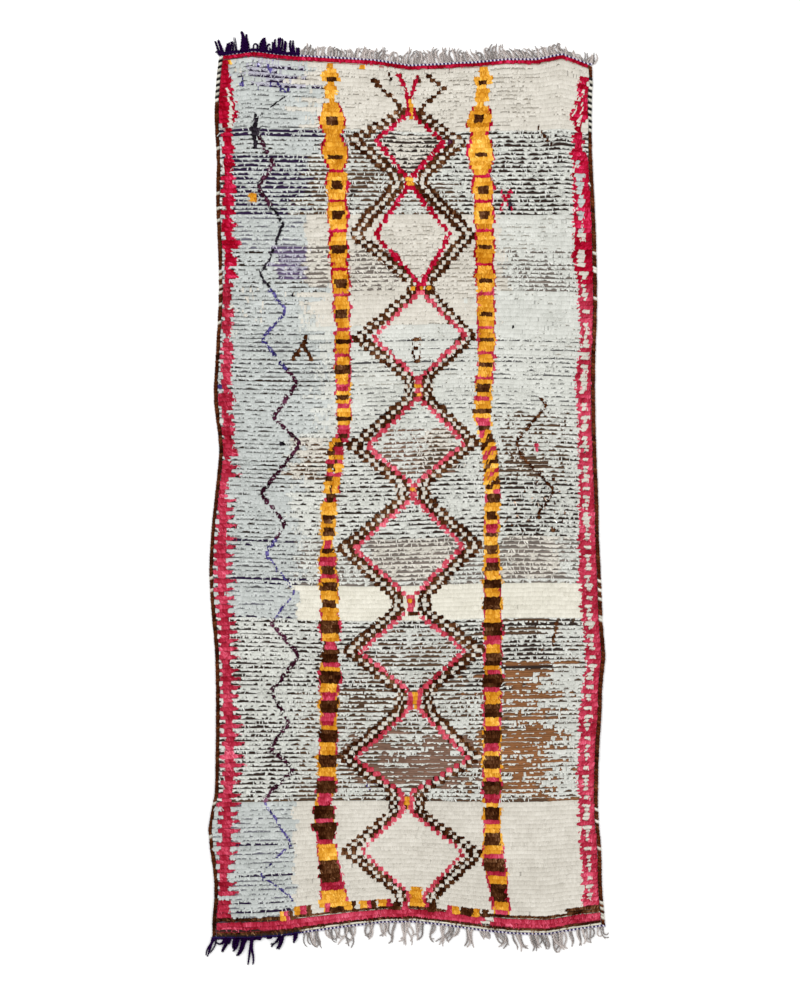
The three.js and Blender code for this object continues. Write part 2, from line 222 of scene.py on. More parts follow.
PILE = {
    "cream": (202, 197, 186), "white": (199, 200, 193), "mint": (183, 187, 184), "lilac": (172, 170, 181),
    "crimson": (162, 12, 42), "rose": (172, 46, 68), "yellow": (208, 144, 42), "brown": (64, 33, 14),
    "plum": (56, 22, 38), "black": (32, 27, 34), "violet": (66, 58, 114), "ivory": (214, 210, 196),
    "pink": (184, 64, 80),
}
WEFT = {
    "cream": (208, 204, 186), "fawn": (170, 160, 145), "sand": (190, 180, 164), "stone": (110, 101, 94),
    "dusk": (74, 72, 74), "slate": (104, 102, 114), "dark": (46, 35, 30), "umber": (80, 60, 45),
    "rust": (126, 84, 52), "mauve": (112, 86, 72), "ink": (38, 24, 52), "plum": (86, 72, 100),
}
WOOLS = list(PILE)
WEFTS = list(WEFT)

# Widths of a knot, of a chain's dot and of one tuft
KNOT = 15.6
DOT = 18
TUFT = 3.8

# How far the tufts of a motif and those of the closed pile reach down, in rows
SQUARE = 1.3
SHINGLE = 1.3

# Wool of the red motifs and of the diamonds' red line: crimson at the head end, paler below this row
CRIMSON_ROWS = 52
CRIMSON_LINE_ROWS = 54

# Ground of the field: rows from top to before end, its weft and pile, the share of each row where the weft
# shows, the share of tufts worn away, and how ragged its sides are
Zone = namedtuple("Zone", "top end left right weft pile shown bare rag", defaults=[0.0, 9])
ZONES = table(Zone,
    (0, 16, -600, 600, "fawn", "cream", 0.0),
    (0, 16, -600, -300, "dusk", "mint", 0.02, 0.0, 60),
    (0, 16, 380, 600, "sand", "cream", -0.1),
    (1, 7, -480, -340, "ink", "lilac", 0.38, 0.0, 60),
    (16, 36, -600, 600, "dark", "white", 0.40, 0.03),
    (16, 18, -600, -220, "ink", "mint", 0.5, 0.1),
    (18, 22, -600, -255, "dark", "mint", 0.12, 0.03, 20),
    (22, 36, -540, -290, "ink", "mint", 0.46, 0.02, 20),
    (22, 36, -310, -180, "umber", "white", 0.48, 0.06, 30),
    (17, 31, -185, -10, "umber", "white", 0.52, 0.12, 30),
    (17, 26, -90, 100, "dark", "cream", 0.48, 0.05),
    (28, 36, -150, 160, "umber", "white", 0.45, 0.1),
    (16, 36, 250, 470, "dark", "white", 0.52, 0.08, 30),
    (16, 36, 470, 600, "dark", "white", 0.24, 0.0, 40),
    (36, 44, -310, 600, "sand", "cream", 0.0, 0.02),
    (36, 44, -600, -305, "slate", "mint", 0.14, 0.03),
    (36, 44, 280, 600, "fawn", "white", 0.0, 0.02),
    (44, 54, -600, 600, "fawn", "cream", 0.06, 0.03),
    (44, 55, -600, -230, "dark", "mint", 0.2, 0.04),
    (43, 51, -400, -304, "plum", "lilac", 0.66, 0.1, 14),
    (43, 53, -304, -230, "stone", "cream", 0.4, 0.2, 14),
    (44, 54, -185, -20, "stone", "cream", 0.36, 0.15),
    (44, 55, 290, 600, "stone", "white", 0.36, 0.1, 30),
    (54, 69, -600, 600, "fawn", "white", -0.08),
    (54, 69, -600, -260, "dusk", "mint", 0.09, 0.0, 60),
    (54, 62, -310, 240, "sand", "cream", -0.05, 0.0, 60),
    (69, 87, -600, 600, "dusk", "white", 0.07, 0.0),
    (69, 76, -150, 200, "fawn", "white", 0.0, 0.0),
    (68, 87, -600, -260, "dark", "mint", 0.12, 0.0, 40),
    (87, 98, -600, 600, "dark", "white", 0.2, 0.02),
    (87, 98, -600, -320, "dark", "mint", 0.10, 0.0, 40),
    (88, 98, -330, -240, "umber", "cream", 0.34, 0.12, 40),
    (82, 98, 240, 520, "umber", "white", 0.34, 0.14, 60),
    (86, 97, -95, 150, "mauve", "white", 0.42, 0.1),
    (87, 96, 40, 150, "umber", "cream", 0.55, 0.15, 30),
    (92, 99, 330, 400, "umber", "cream", 0.66, 0.25, 30),
    (98, 112, -600, 600, "dark", "white", 0.26, 0.02),
    (98, 112, -600, -330, "dark", "mint", 0.13, 0.0, 35),
    (98, 112, 260, 480, "dark", "white", 0.44, 0.06, 50),
    (100, 105, 330, 440, "dark", "white", 0.66, 0.12, 60),
    (112, 124, -600, 600, "stone", "white", 0.40, 0.05),
    (112, 124, -600, -330, "dusk", "mint", 0.11, 0.0, 30),
    (112, 122, -110, 145, "stone", "cream", 0.48, 0.1),
    (112, 122, 285, 460, "stone", "cream", 0.52, 0.12, 25),
    (123, 131, -330, 600, "cream", "ivory", -0.4),
    (124, 131, -600, -328, "slate", "mint", 0.1, 0.0),
    (131, 174, -600, 600, "dark", "white", 0.38, 0.02),
    (131, 174, -600, -330, "dark", "white", 0.32, 0.02, 30),
    (148, 174, -330, 600, "umber", "white", 0.42, 0.05),
    (133, 150, -120, 180, "umber", "white", 0.46, 0.18, 40),
    (131, 135, 290, 455, "umber", "white", 0.58, 0.34, 60),
    (135, 142, 280, 450, "dark", "white", 0.46, 0.05, 30),
    (141, 174, 290, 480, "rust", "white", 0.52, 0.34, 90),
    (142, 150, 300, 420, "rust", "white", 0.6, 0.56, 80),
    (152, 170, 290, 430, "rust", "white", 0.6, 0.52, 90),
    (133, 174, 450, 600, "umber", "white", 0.2, 0.03, 60),
    (147, 153, -170, -40, "umber", "white", 0.54, 0.3, 60),
    (157, 170, -130, -10, "mauve", "white", 0.58, 0.5, 60),
    (158, 171, 30, 160, "mauve", "white", 0.58, 0.5, 60),
    (174, 204, -335, 600, "cream", "cream", -0.4),
    (174, 204, -600, -333, "slate", "mint", 0.08, 0.0))

# Single rows whose weft shows more
Stripe = namedtuple("Stripe", "row left right weft shown")
STRIPES = table(Stripe,
    (16, -515, -230, "ink", 0.55), (17, -515, -230, "ink", 0.6), (22, -515, -300, "ink", 0.6),
    (65, -560, 560, "dusk", 0.16), (67, -560, 560, "dusk", 0.16), (70, -560, 560, "dusk", 0.18),
    (72, -560, 560, "dusk", 0.18), (112, -525, -335, "ink", 0.5), (113, -525, -335, "ink", 0.3),
    (121, -530, -260, "ink", 0.5), (122, -460, -330, "ink", 0.3), (130, -520, -330, "ink", 0.3),
    (131, -330, 60, "dark", 0.6), (132, 60, 600, "dark", 0.5), (135, -515, 600, "dark", 0.5),
    (142, -515, 440, "dark", 0.5), (146, -515, 100, "dark", 0.45), (173, -520, 430, "umber", 0.6),
    (183, -515, -330, "ink", 0.3), (190, -515, -330, "ink", 0.2), (196, -515, -330, "ink", 0.35),
    (198, -515, -330, "ink", 0.4), (200, -515, -330, "dusk", 0.3))

# Odd tufts of another wool scattered over a stretch. A draw between the low and the high end decides on each
FLECK_LOW = 0.1
FLECK_HIGH = 0.9
Fleck = namedtuple("Fleck", "top end left right wool share")
FLECKS = table(Fleck,
    (1, 8, -500, -340, "violet", 0.0), (2, 5, -430, -375, "violet", 0.06),
    (43, 51, -400, -304, "white", 0.08), (53, 61, -530, -430, "cream", 0.12),
    (170, 172, -120, -60, "violet", 0.3), (98, 112, 260, 480, "brown", 0.02))

# Small motifs: a straight stroke of knots from one row and place to another
Stroke = namedtuple("Stroke", "wool row across end end_across wide")
STROKES = table(Stroke,
    ("brown", 4, -106, 9.7, -19, 19), ("brown", 4, -88, 5, -85, 16), ("brown", 10.3, 44, 5.5, 111, 18),
    ("brown", 5, 100, 2, 58, 16), ("brown", 2, -55, 3.4, -46, 8), ("brown", 2.2, -14, 3, -14, 6),
    ("brown", 2.4, 38, 3.2, 38, 6), ("crimson", 2, -26, 7.5, 8, 12), ("crimson", 2.2, 35, 7.5, 14, 12),
    ("crimson", 7.2, 2, 10.8, 4, 12), ("yellow", 8, 12, 12.4, 12, 12), ("yellow", 27.2, 10, 29, 10, 18),
    ("yellow", 53, 17, 54, 17, 14), ("yellow", 53, 43, 54, 43, 12), ("yellow", 53.3, 70, 54, 70, 12),
    ("yellow", 76, 35, 77, 35, 16), ("yellow", 78, 35, 79, 35, 14), ("yellow", 100, 20, 101, 20, 11),
    ("yellow", 126, 11, 127, 11, 14), ("brown", 129, 19, 130, 19, 32), ("yellow", 148, 25, 150, 25, 16),
    ("yellow", 150, 25, 152, 25, 9), ("yellow", 173, 0, 176, 0, 15), ("brown", 175, 0, 175.6, 0, 7),
    ("plum", 18, 131, 19, 131, 12), ("brown", 64, -300, 66.6, -310, 15),
    ("brown", 66.4, -312, 69.6, -340, 14), ("brown", 67.6, -302, 69.6, -288, 13),
    ("brown", 65, 29, 66, 29, 16), ("brown", 66, 21, 67, 21, 8), ("brown", 66, 38, 67, 38, 8),
    ("brown", 67, 29, 68, 29, 16), ("brown", 68, 21, 70, 21, 8), ("brown", 68, 38, 70, 38, 8),
    ("brown", 70, 30, 71, 30, 16), ("crimson", 30.4, 284, 34.4, 312, 9),
    ("crimson", 30.4, 312, 34.4, 282, 9), ("black", 33, 309, 35, 309, 5), ("black", 62, 319, 63, 319, 6),
    ("black", 54, -341, 55, -341, 8), ("yellow", 1, -132, 2, -132, 16), ("yellow", 1, -532, 2, -532, 12),
    ("yellow", 31, -460, 33, -458, 22), ("yellow", 61, -527, 62, -527, 10),
    ("black", 89, -374, 90, -374, 12), ("black", 13, -450, 16, -456, 9), ("rose", 90.6, 388, 91.6, 388, 8),
    ("violet", 76, -568, 77, -568, 30), ("black", 64, 524, 65, 524, 9), ("black", 64, 560, 65, 560, 12),
    ("brown", 15.3, 393, 17.2, 410, 8), ("brown", 17.2, 410, 19.8, 437, 8),
    ("brown", 132.8, 450, 137.5, 437, 7), ("brown", 137.5, 437, 138.6, 407, 7),
    ("black", 16, -457, 18, -450, 30), ("black", 18, -458, 21, -452, 13))

# Ladders. A cell is a yellow block with a brown bar and a crimson line under it. A course is a block of
# rows in one wool with edge knots in another.
Cell = namedtuple("Cell", "rows neck wide bar_from bar_rows bar_wide line")
Course = namedtuple("Course", "wool rows wide edge")
Bend = namedtuple("Bend", "row across")

LEFT_CELLS = table(Cell,
    (5, 14, 34, 0, 0, 0, 0), (8, 34, 76, 3, 2, 38, 0), (8, 38, 78, 4, 1, 48, 1), (7, 44, 66, 2, 2, 38, 1),
    (7, 44, 62, 2, 2, 34, 1), (9, 40, 56, 3, 2, 44, 1), (6, 40, 54, 2, 2, 38, 1), (8, 34, 50, 3, 2, 34, 1),
    (6, 38, 50, 2, 1, 44, 1), (6, 38, 48, 2, 2, 46, 0))
RIGHT_CELLS = table(Cell,
    (5, 18, 46, 0, 0, 0, 0), (7, 36, 74, 2, 2, 30, 0), (10, 40, 78, 4, 1, 36, 1), (6, 44, 66, 2, 2, 36, 1),
    (7, 46, 62, 2, 2, 30, 1), (8, 46, 58, 3, 1, 42, 1), (7, 46, 57, 3, 1, 38, 1), (8, 44, 54, 4, 1, 38, 1),
    (6, 44, 52, 2, 1, 40, 1), (6, 40, 48, 2, 1, 36, 1))
LEFT_UPPER = table(Course,
    ("rose", 2, 38, "yellow"), ("yellow", 1, 40, "rose"), ("brown", 1, 36, "yellow"),
    ("yellow", 1, 40, "rose"), ("rose", 1, 36, "yellow"), ("yellow", 2, 38, "rose"),
    ("brown", 1, 38, "yellow"), ("yellow", 1, 38, ""), ("rose", 2, 36, ""), ("brown", 1, 30, "rose"))
LEFT_LOWER = table(Course,
    ("brown", 2, 26, "rose"), ("yellow", 3, 46, ""), ("brown", 2, 33, "yellow"), ("yellow", 1, 42, ""),
    ("brown", 2, 33, "yellow"), ("yellow", 1, 36, ""), ("rose", 2, 22, "yellow"),
    ("brown", 1, 32, "yellow"), ("yellow", 1, 46, ""), ("rose", 2, 46, "yellow"),
    ("brown", 2, 38, "yellow"), ("rose", 1, 46, "yellow"), ("yellow", 1, 45, "rose"),
    ("brown", 2, 52, "yellow"), ("yellow", 2, 50, "rose"), ("brown", 2, 42, "yellow"),
    ("yellow", 3, 50, "rose"), ("brown", 3, 58, "rose"), ("yellow", 2, 48, "rose"),
    ("rose", 2, 30, "brown"), ("brown", 3, 48, ""), ("rose", 1, 48, "yellow"), ("yellow", 1, 58, ""),
    ("brown", 3, 62, "rose"), ("yellow", 2, 50, "rose"), ("rose", 2, 42, "yellow"),
    ("brown", 3, 52, "yellow"), ("rose", 3, 42, "yellow"), ("yellow", 1, 45, ""), ("brown", 3, 50, "rose"),
    ("yellow", 3, 44, "rose"), ("brown", 3, 54, "yellow"), ("yellow", 2, 50, ""), ("rose", 1, 44, "yellow"),
    ("brown", 3, 54, "rose"), ("rose", 3, 40, "yellow"), ("brown", 3, 58, "rose"),
    ("rose", 1, 54, "yellow"), ("brown", 2, 76, "rose"), ("brown", 2, 52, "rose"), ("rose", 1, 52, ""),
    ("yellow", 4, 54, "rose"), ("brown", 5, 58, "rose"), ("rose", 2, 66, ""), ("yellow", 4, 72, "rose"),
    ("brown", 2, 56, "yellow"))
RIGHT_UPPER = table(Course,
    ("yellow", 1, 44, "rose"), ("brown", 2, 40, "yellow"), ("yellow", 1, 42, ""), ("rose", 1, 40, "yellow"),
    ("yellow", 2, 48, ""), ("brown", 1, 62, ""), ("yellow", 1, 50, ""), ("rose", 2, 38, "yellow"),
    ("brown", 1, 34, "yellow"))
RIGHT_LOWER = table(Course,
    ("brown", 2, 38, "rose"), ("yellow", 2, 46, ""), ("brown", 2, 32, "yellow"), ("yellow", 1, 40, "rose"),
    ("rose", 2, 36, "yellow"), ("brown", 1, 34, "yellow"), ("yellow", 2, 42, ""),
    ("brown", 2, 35, "yellow"), ("yellow", 1, 42, ""), ("rose", 1, 36, "yellow"),
    ("brown", 2, 36, "yellow"), ("yellow", 2, 42, "rose"), ("brown", 2, 50, "yellow"),
    ("yellow", 2, 44, "rose"), ("brown", 3, 52, "yellow"), ("yellow", 3, 44, "rose"),
    ("brown", 3, 53, "rose"), ("rose", 2, 44, "yellow"), ("yellow", 2, 42, "rose"),
    ("brown", 3, 48, "rose"), ("yellow", 1, 48, ""), ("rose", 1, 42, "yellow"), ("brown", 3, 56, "rose"),
    ("rose", 1, 48, ""), ("yellow", 3, 44, "rose"), ("brown", 3, 50, "rose"), ("yellow", 2, 42, "rose"),
    ("rose", 1, 44, "yellow"), ("brown", 3, 52, "yellow"), ("rose", 2, 42, "yellow"),
    ("yellow", 1, 42, "rose"), ("brown", 3, 50, "yellow"), ("yellow", 2, 44, "rose"),
    ("rose", 1, 44, "yellow"), ("brown", 3, 52, "rose"), ("rose", 2, 46, "yellow"), ("yellow", 1, 44, ""),
    ("brown", 3, 44, "yellow"), ("rose", 1, 44, "yellow"), ("yellow", 2, 44, "rose"),
    ("brown", 3, 46, "yellow"), ("yellow", 2, 56, "rose"), ("rose", 1, 56, "yellow"),
    ("brown", 3, 62, "rose"), ("rose", 1, 58, "yellow"), ("yellow", 2, 56, "rose"),
    ("brown", 4, 48, "rose"), ("yellow", 2, 46, "rose"), ("rose", 2, 42, "yellow"))
Twist = namedtuple("Twist", "left right")
TWISTS = table(Twist,
    ("yellow", "rose"), ("yellow", "brown"), ("yellow", "rose"), ("brown", "rose"), ("yellow", "yellow"),
    ("rose", "rose"), ("brown", "yellow"), ("yellow", "yellow"), ("rose", "rose"), ("brown", "yellow"),
    ("yellow", "yellow"), ("yellow", "yellow"), ("yellow", "yellow"))
LEFT_WAY = table(Bend,
    (0, -229), (10, -226), (20, -216), (24, -210), (34, -207), (46, -201), (60, -192), (75, -191),
    (87, -190), (89, -212), (94, -216), (101, -229), (115, -236), (125, -231), (140, -229), (155, -234),
    (168, -238), (176, -248), (184, -240), (192, -226), (202, -206))
RIGHT_WAY = table(Bend,
    (0, 235), (10, 222), (14, 218), (25, 225), (36, 232), (60, 238), (70, 238), (80, 228), (84, 228),
    (88, 240), (92, 252), (102, 260), (106, 255), (120, 257), (140, 259), (160, 256), (180, 257),
    (187, 262), (192, 272), (197, 283), (202, 285))

# Crossings of the diamonds: their rows, how far across they lie, and how far off the inner and outer chain
# and the red line pass them
Crossing = namedtuple("Crossing", "top end across inner outer line")
CROSSINGS = table(Crossing,
    (10, 11.4, 10, 20, 38, 5), (27.2, 29, 8, 26, 50, 4), (52.2, 54.4, 42, 15, 34, 4),
    (75, 79, 36, 16, 34, 0), (99.4, 102.6, 20, 22, 44, 3), (125.6, 128.4, 13, 30, 54, 4),
    (148, 152, 24, 33, 51, 13), (172, 176.6, 0, 30, 50, 14), (197, 199, 30, 36, 58, 20))

# Side corners of each diamond: their row and how far across the red and the dark ones lie
Diamond = namedtuple("Diamond", "middle red_left red_right dark_left dark_right")
DIAMONDS = table(Diamond,
    (18.6, -90, 110, -173, 176), (40.7, -93, 130, -170, 205), (64.8, -99, 177, -161, 207),
    (90, -117, 178, -178, 217), (114, -155, 169, -205, 226), (138.4, -139, 174, -190, 234),
    (163.8, -156, 186, -202, 220), (186, -134, 170, -194, 230))

LEFT_ZIGZAG = table(Bend,
    (0, -416), (3, -418), (5, -404), (9, -358), (14.5, -446), (16.5, -454), (20, -434), (25, -398),
    (30, -446), (38.5, -370), (48, -418), (50, -442), (59, -360), (65.3, -434), (75.6, -327), (83.8, -399),
    (90, -317), (102, -437), (109, -362), (112, -387), (116, -422), (120.8, -376), (125, -333),
    (132.5, -406), (140.3, -320), (148.8, -406), (156.2, -352), (162.3, -409), (167.2, -336), (172.8, -418),
    (174.7, -424), (184.3, -343), (189.3, -417), (191, -440), (196.2, -342))
# From a row on, the wool of a zigzag, the share of its knots that are left and how wide they are
Thread = namedtuple("Thread", "row wool left slim", defaults=[0.62])
RIGHT_ZIGZAG = table(Bend,
    (79.6, 397), (81.4, 419), (90.3, 330), (93.8, 344), (97.8, 397), (101.9, 444), (105.3, 410),
    (107.2, 395))
LEFT_THREADS = table(Thread,
    (0, "violet", 0.6, 0.8), (9, "black", 0.4, 0.6), (14, "black", 0.97, 1.8), (18, "plum", 0.97, 1.7),
    (34, "black", 0.9, 1.1), (53, "violet", 0.97, 1.1), (62, "violet", 0.97, 1.3), (72, "plum", 1.0, 1.6),
    (112, "violet", 0.99, 1.6), (117, "violet", 0.95, 0.9), (131, "plum", 1.0, 1.6),
    (174, "violet", 0.97, 1.0), (186, "violet", 0.85, 0.8))
RIGHT_THREADS = table(Thread, (0, "brown", 0.97, 1.2))

# The last row of a zigzag, above the foot's bands
LAST_ZIGZAG_ROW = 196


def way(bends, row):
    """Place across the rug of a smooth way in a row."""
    return through([b.row for b in bends], [b.across for b in bends], row)


def straight(bends, row):
    """Place across the rug of a way with sharp bends in a row."""
    return float(np.interp(row, [b.row for b in bends], [b.across for b in bends]))


def red(row):
    return "crimson" if row < CRIMSON_ROWS else "rose"


# Triangle of the left border at the head end: its two edges and its light middle
LEFT_TRIANGLE_FAR = table(Bend, (1, -552), (5, -558), (9, -562), (13, -570), (15, -556))
LEFT_TRIANGLE_NEAR = table(Bend, (1, -540), (5, -527), (9, -514), (13, -506), (15, -521))
LEFT_TRIANGLE_CORE = table(Bend, (5, -545), (11, -530), (15, -533))

# Borders: beads of the left one, the middle of its saw-toothed band below them, both edges of the right one
# and the light lozenges between them
Bead = namedtuple("Bead", "top end left right")
LEFT_BEADS = table(Bead,
    (16.7, 19.1, -558, -528), (19.2, 22.2, -556, -517), (22.9, 26.6, -551, -517), (26.6, 28.8, -556, -517),
    (29, 31.4, -556, -512), (31.8, 34.1, -558, -514), (34.5, 36.3, -560, -514), (37, 40.2, -560, -514),
    (41.2, 44.4, -553, -499), (45, 48.5, -546, -508), (49.1, 51.4, -548, -508), (51.5, 53.6, -554, -522),
    (53.6, 57.4, -562, -526), (57.9, 60.2, -556, -517), (60.4, 64.4, -556, -523), (65.6, 68.7, -558, -521),
    (68.9, 70.8, -562, -517), (70.8, 73.7, -560, -526), (74.3, 76.1, -560, -523), (77.1, 81.8, -569, -519),
    (82.5, 84.9, -558, -519), (85.1, 88.6, -562, -513), (88.9, 90.9, -562, -517), (91, 93.4, -554, -501))
LEFT_BAND = table(Bend,
    (52, -540), (68, -540), (80, -545), (90, -540), (95, -536), (101, -552), (104, -553), (112, -551),
    (118, -555), (126, -551), (132, -545), (140, -541), (150, -536), (160, -529), (168, -531), (174, -540),
    (180, -538), (190, -548), (195, -546))
RIGHT_NEAR = table(Bend,
    (3.3, 521), (6, 517), (9.8, 506), (12.3, 496), (13.5, 489), (14.6, 506), (16.5, 510), (17.6, 494),
    (18.6, 498), (20, 510), (20.8, 494), (26, 500), (39, 504), (46, 502), (52, 514), (58, 521), (68, 520),
    (71, 513), (75, 508), (80, 516), (103, 520), (112, 518), (122, 523), (131.5, 526), (135, 538),
    (143, 540), (148, 531), (152, 523), (164, 518), (170, 512), (174, 520), (181, 517), (188, 524),
    (195, 528), (200, 530))
RIGHT_FAR = table(Bend,
    (3.3, 543), (13, 544), (14.6, 525), (16.5, 525), (18.2, 538), (20, 521), (20.8, 538), (22.5, 544),
    (30, 550), (33, 556), (46, 558), (58, 563), (88, 560), (103, 564), (122, 577), (143, 577), (152, 568),
    (178, 568), (188, 576), (200, 580))
Lozenge = namedtuple("Lozenge", "top end wide")
LOZENGES = table(Lozenge,
    (22.9, 24.8, 12), (25.9, 27, 28), (27.3, 29.7, 24), (29.9, 31.1, 10), (31.3, 33.9, 19),
    (35.3, 37.2, 20), (37.4, 38.6, 9), (38.8, 42.4, 19), (43.8, 46.1, 24), (46.1, 48.5, 14),
    (48.9, 50.6, 22), (52.2, 56.4, 8), (57.6, 59.3, 14), (60.6, 64.7, 8), (65.4, 67.3, 12),
    (67.7, 69.8, 20), (70.8, 72.7, 17), (73.4, 76.2, 19), (76.2, 78.5, 14), (79.6, 82.3, 9),
    (82.7, 84.6, 15), (85.1, 87.2, 18), (87.7, 89.6, 12), (98, 98.9, 18), (105.6, 109, 19), (132, 133, 24))

# Left border: the places from which beads swell to both sides, and the band's middle beside them
BEAD_CORE = (-542, -530)
BEADS_MIDDLE = -536
BAND_HALF = 7.5

# Saw teeth of the left border's band: how far they reach outwards and inwards, and the steps of their slope
BAND_OUT = 12
BAND_IN = 8
TOOTH_OUT = 15
TOOTH_IN = 12
TOOTH_STEP = 4.2
TOOTH_STEPS = 4

# Rows where the teeth and the right border's light patches start, the rows without teeth, the lengths of a
# tooth and of a patch, and how little of a tooth is left between two
TEETH_FROM = 94
TEETH_GAP = (98, 103)
TOOTH_PITCH = 26.2
LOWER_TOOTH_PITCH = 28.3
LOWER_TEETH_FROM = 130
BETWEEN_TEETH = 0.12
PATCHES_FROM = 89
PATCH_PITCH = 2.36

# Rows of the right border's light triangle, of the line inside it and of the specks beside the lozenges
RIGHT_TRIANGLE_ROWS = (5, 15)
RIGHT_ARROW_ROWS = (7, 13)
SPECK_ROWS = (22, 60)
INNER_LINE = 12

# How far down their row the knots of most motifs reach, in rows
MOTIF_COVER = 1.15

# Bands and patches across the ends: the row, from where to where, and how far they cover it
Band = namedtuple("Band", "row left right wool cover")
BANDS = table(Band,
    (0, -700, 700, "crimson", 0.74), (200, -700, 700, "brown", 0.8), (201, -700, 700, "rose", 1.2),
    (202, -700, 700, "rose", 0.95), (203, -700, 700, "brown", 0.5), (202, -700, -440, "rose", 0.5),
    (199, 478, 700, "brown", 1.0), (201, 234, 262, "cream", 0.8), (202, 222, 246, "cream", 0.7))

# Blocks of knots above the foot's bands
Block = namedtuple("Block", "wool left right top rows", defaults=[2])
BLOCKS = table(Block,
    ("yellow", -380, -364, 199), ("rose", -364, -352, 199), ("brown", -352, -338, 199),
    ("yellow", -334, -316, 198), ("rose", -316, -300, 198), ("brown", -300, -284, 198),
    ("yellow", -262, -240, 197), ("rose", -240, -230, 198), ("yellow", -180, -162, 198),
    ("brown", -162, -150, 198), ("yellow", -140, -118, 198), ("rose", -118, -106, 198),
    ("brown", -106, -92, 198), ("yellow", -86, -58, 198), ("rose", -58, -44, 198), ("brown", -44, -16, 199),
    ("rose", -14, 6, 199), ("rose", 46, 64, 198), ("brown", 66, 90, 199), ("rose", 118, 136, 199),
    ("yellow", 136, 158, 199), ("brown", 160, 204, 199), ("yellow", 196, 216, 199), ("brown", 226, 246, 199),
    ("yellow", 12, 48, 195, 5))


def swell(part, row):
    """How full a bead or lozenge is in a row, from 0 outside it to 1 in its middle."""
    t = (row + 0.5 - part.top) / (part.end - part.top)
    return math.sin(math.pi * t) ** 0.9 if 0 < t < 1 else 0


def inside(place, low, high):
    """Whether a place or row lies between two others."""
    return (place > low) & (place < high)


# Edges of a motif: how far they sway, and over which width its tufts are shorter and lie lower
EDGE_SWAY = 2.6
EDGE_SOFT = 5
EDGE_SHORT = 0.2
EDGE_DROP = 1.5

# Single slanting tufts: how far they reach down, in rows, and how far they may lean, in millimetres
THREAD_REACH = 1.1
THREAD_LEAN = 22

# Finial of a ladder: the widths of its rows from the point down, its two arms and the bar between them
FINIAL_POINT = (12, 24, 34, 54)
FINIAL_ARMS = 56
FINIAL_BAR = 28

# Rows at which the twisted stretch of each ladder ends, and the wools of the right one's slanting bands
LEFT_TWIST_END = 101
RIGHT_TWIST_END = 102
TWIST_BANDS = ("yellow", "rose", "yellow", "brown")
TWIST_LEAN = -6

# A chain of the diamonds that moves less than this from row to row stands steep, and its dots are narrower
STEEP = 7
STEEP_DOT = 11
STEEP_SHIFT = 3.5
DOT_COVER = 1.12
RED_LINE_WIDE = 14


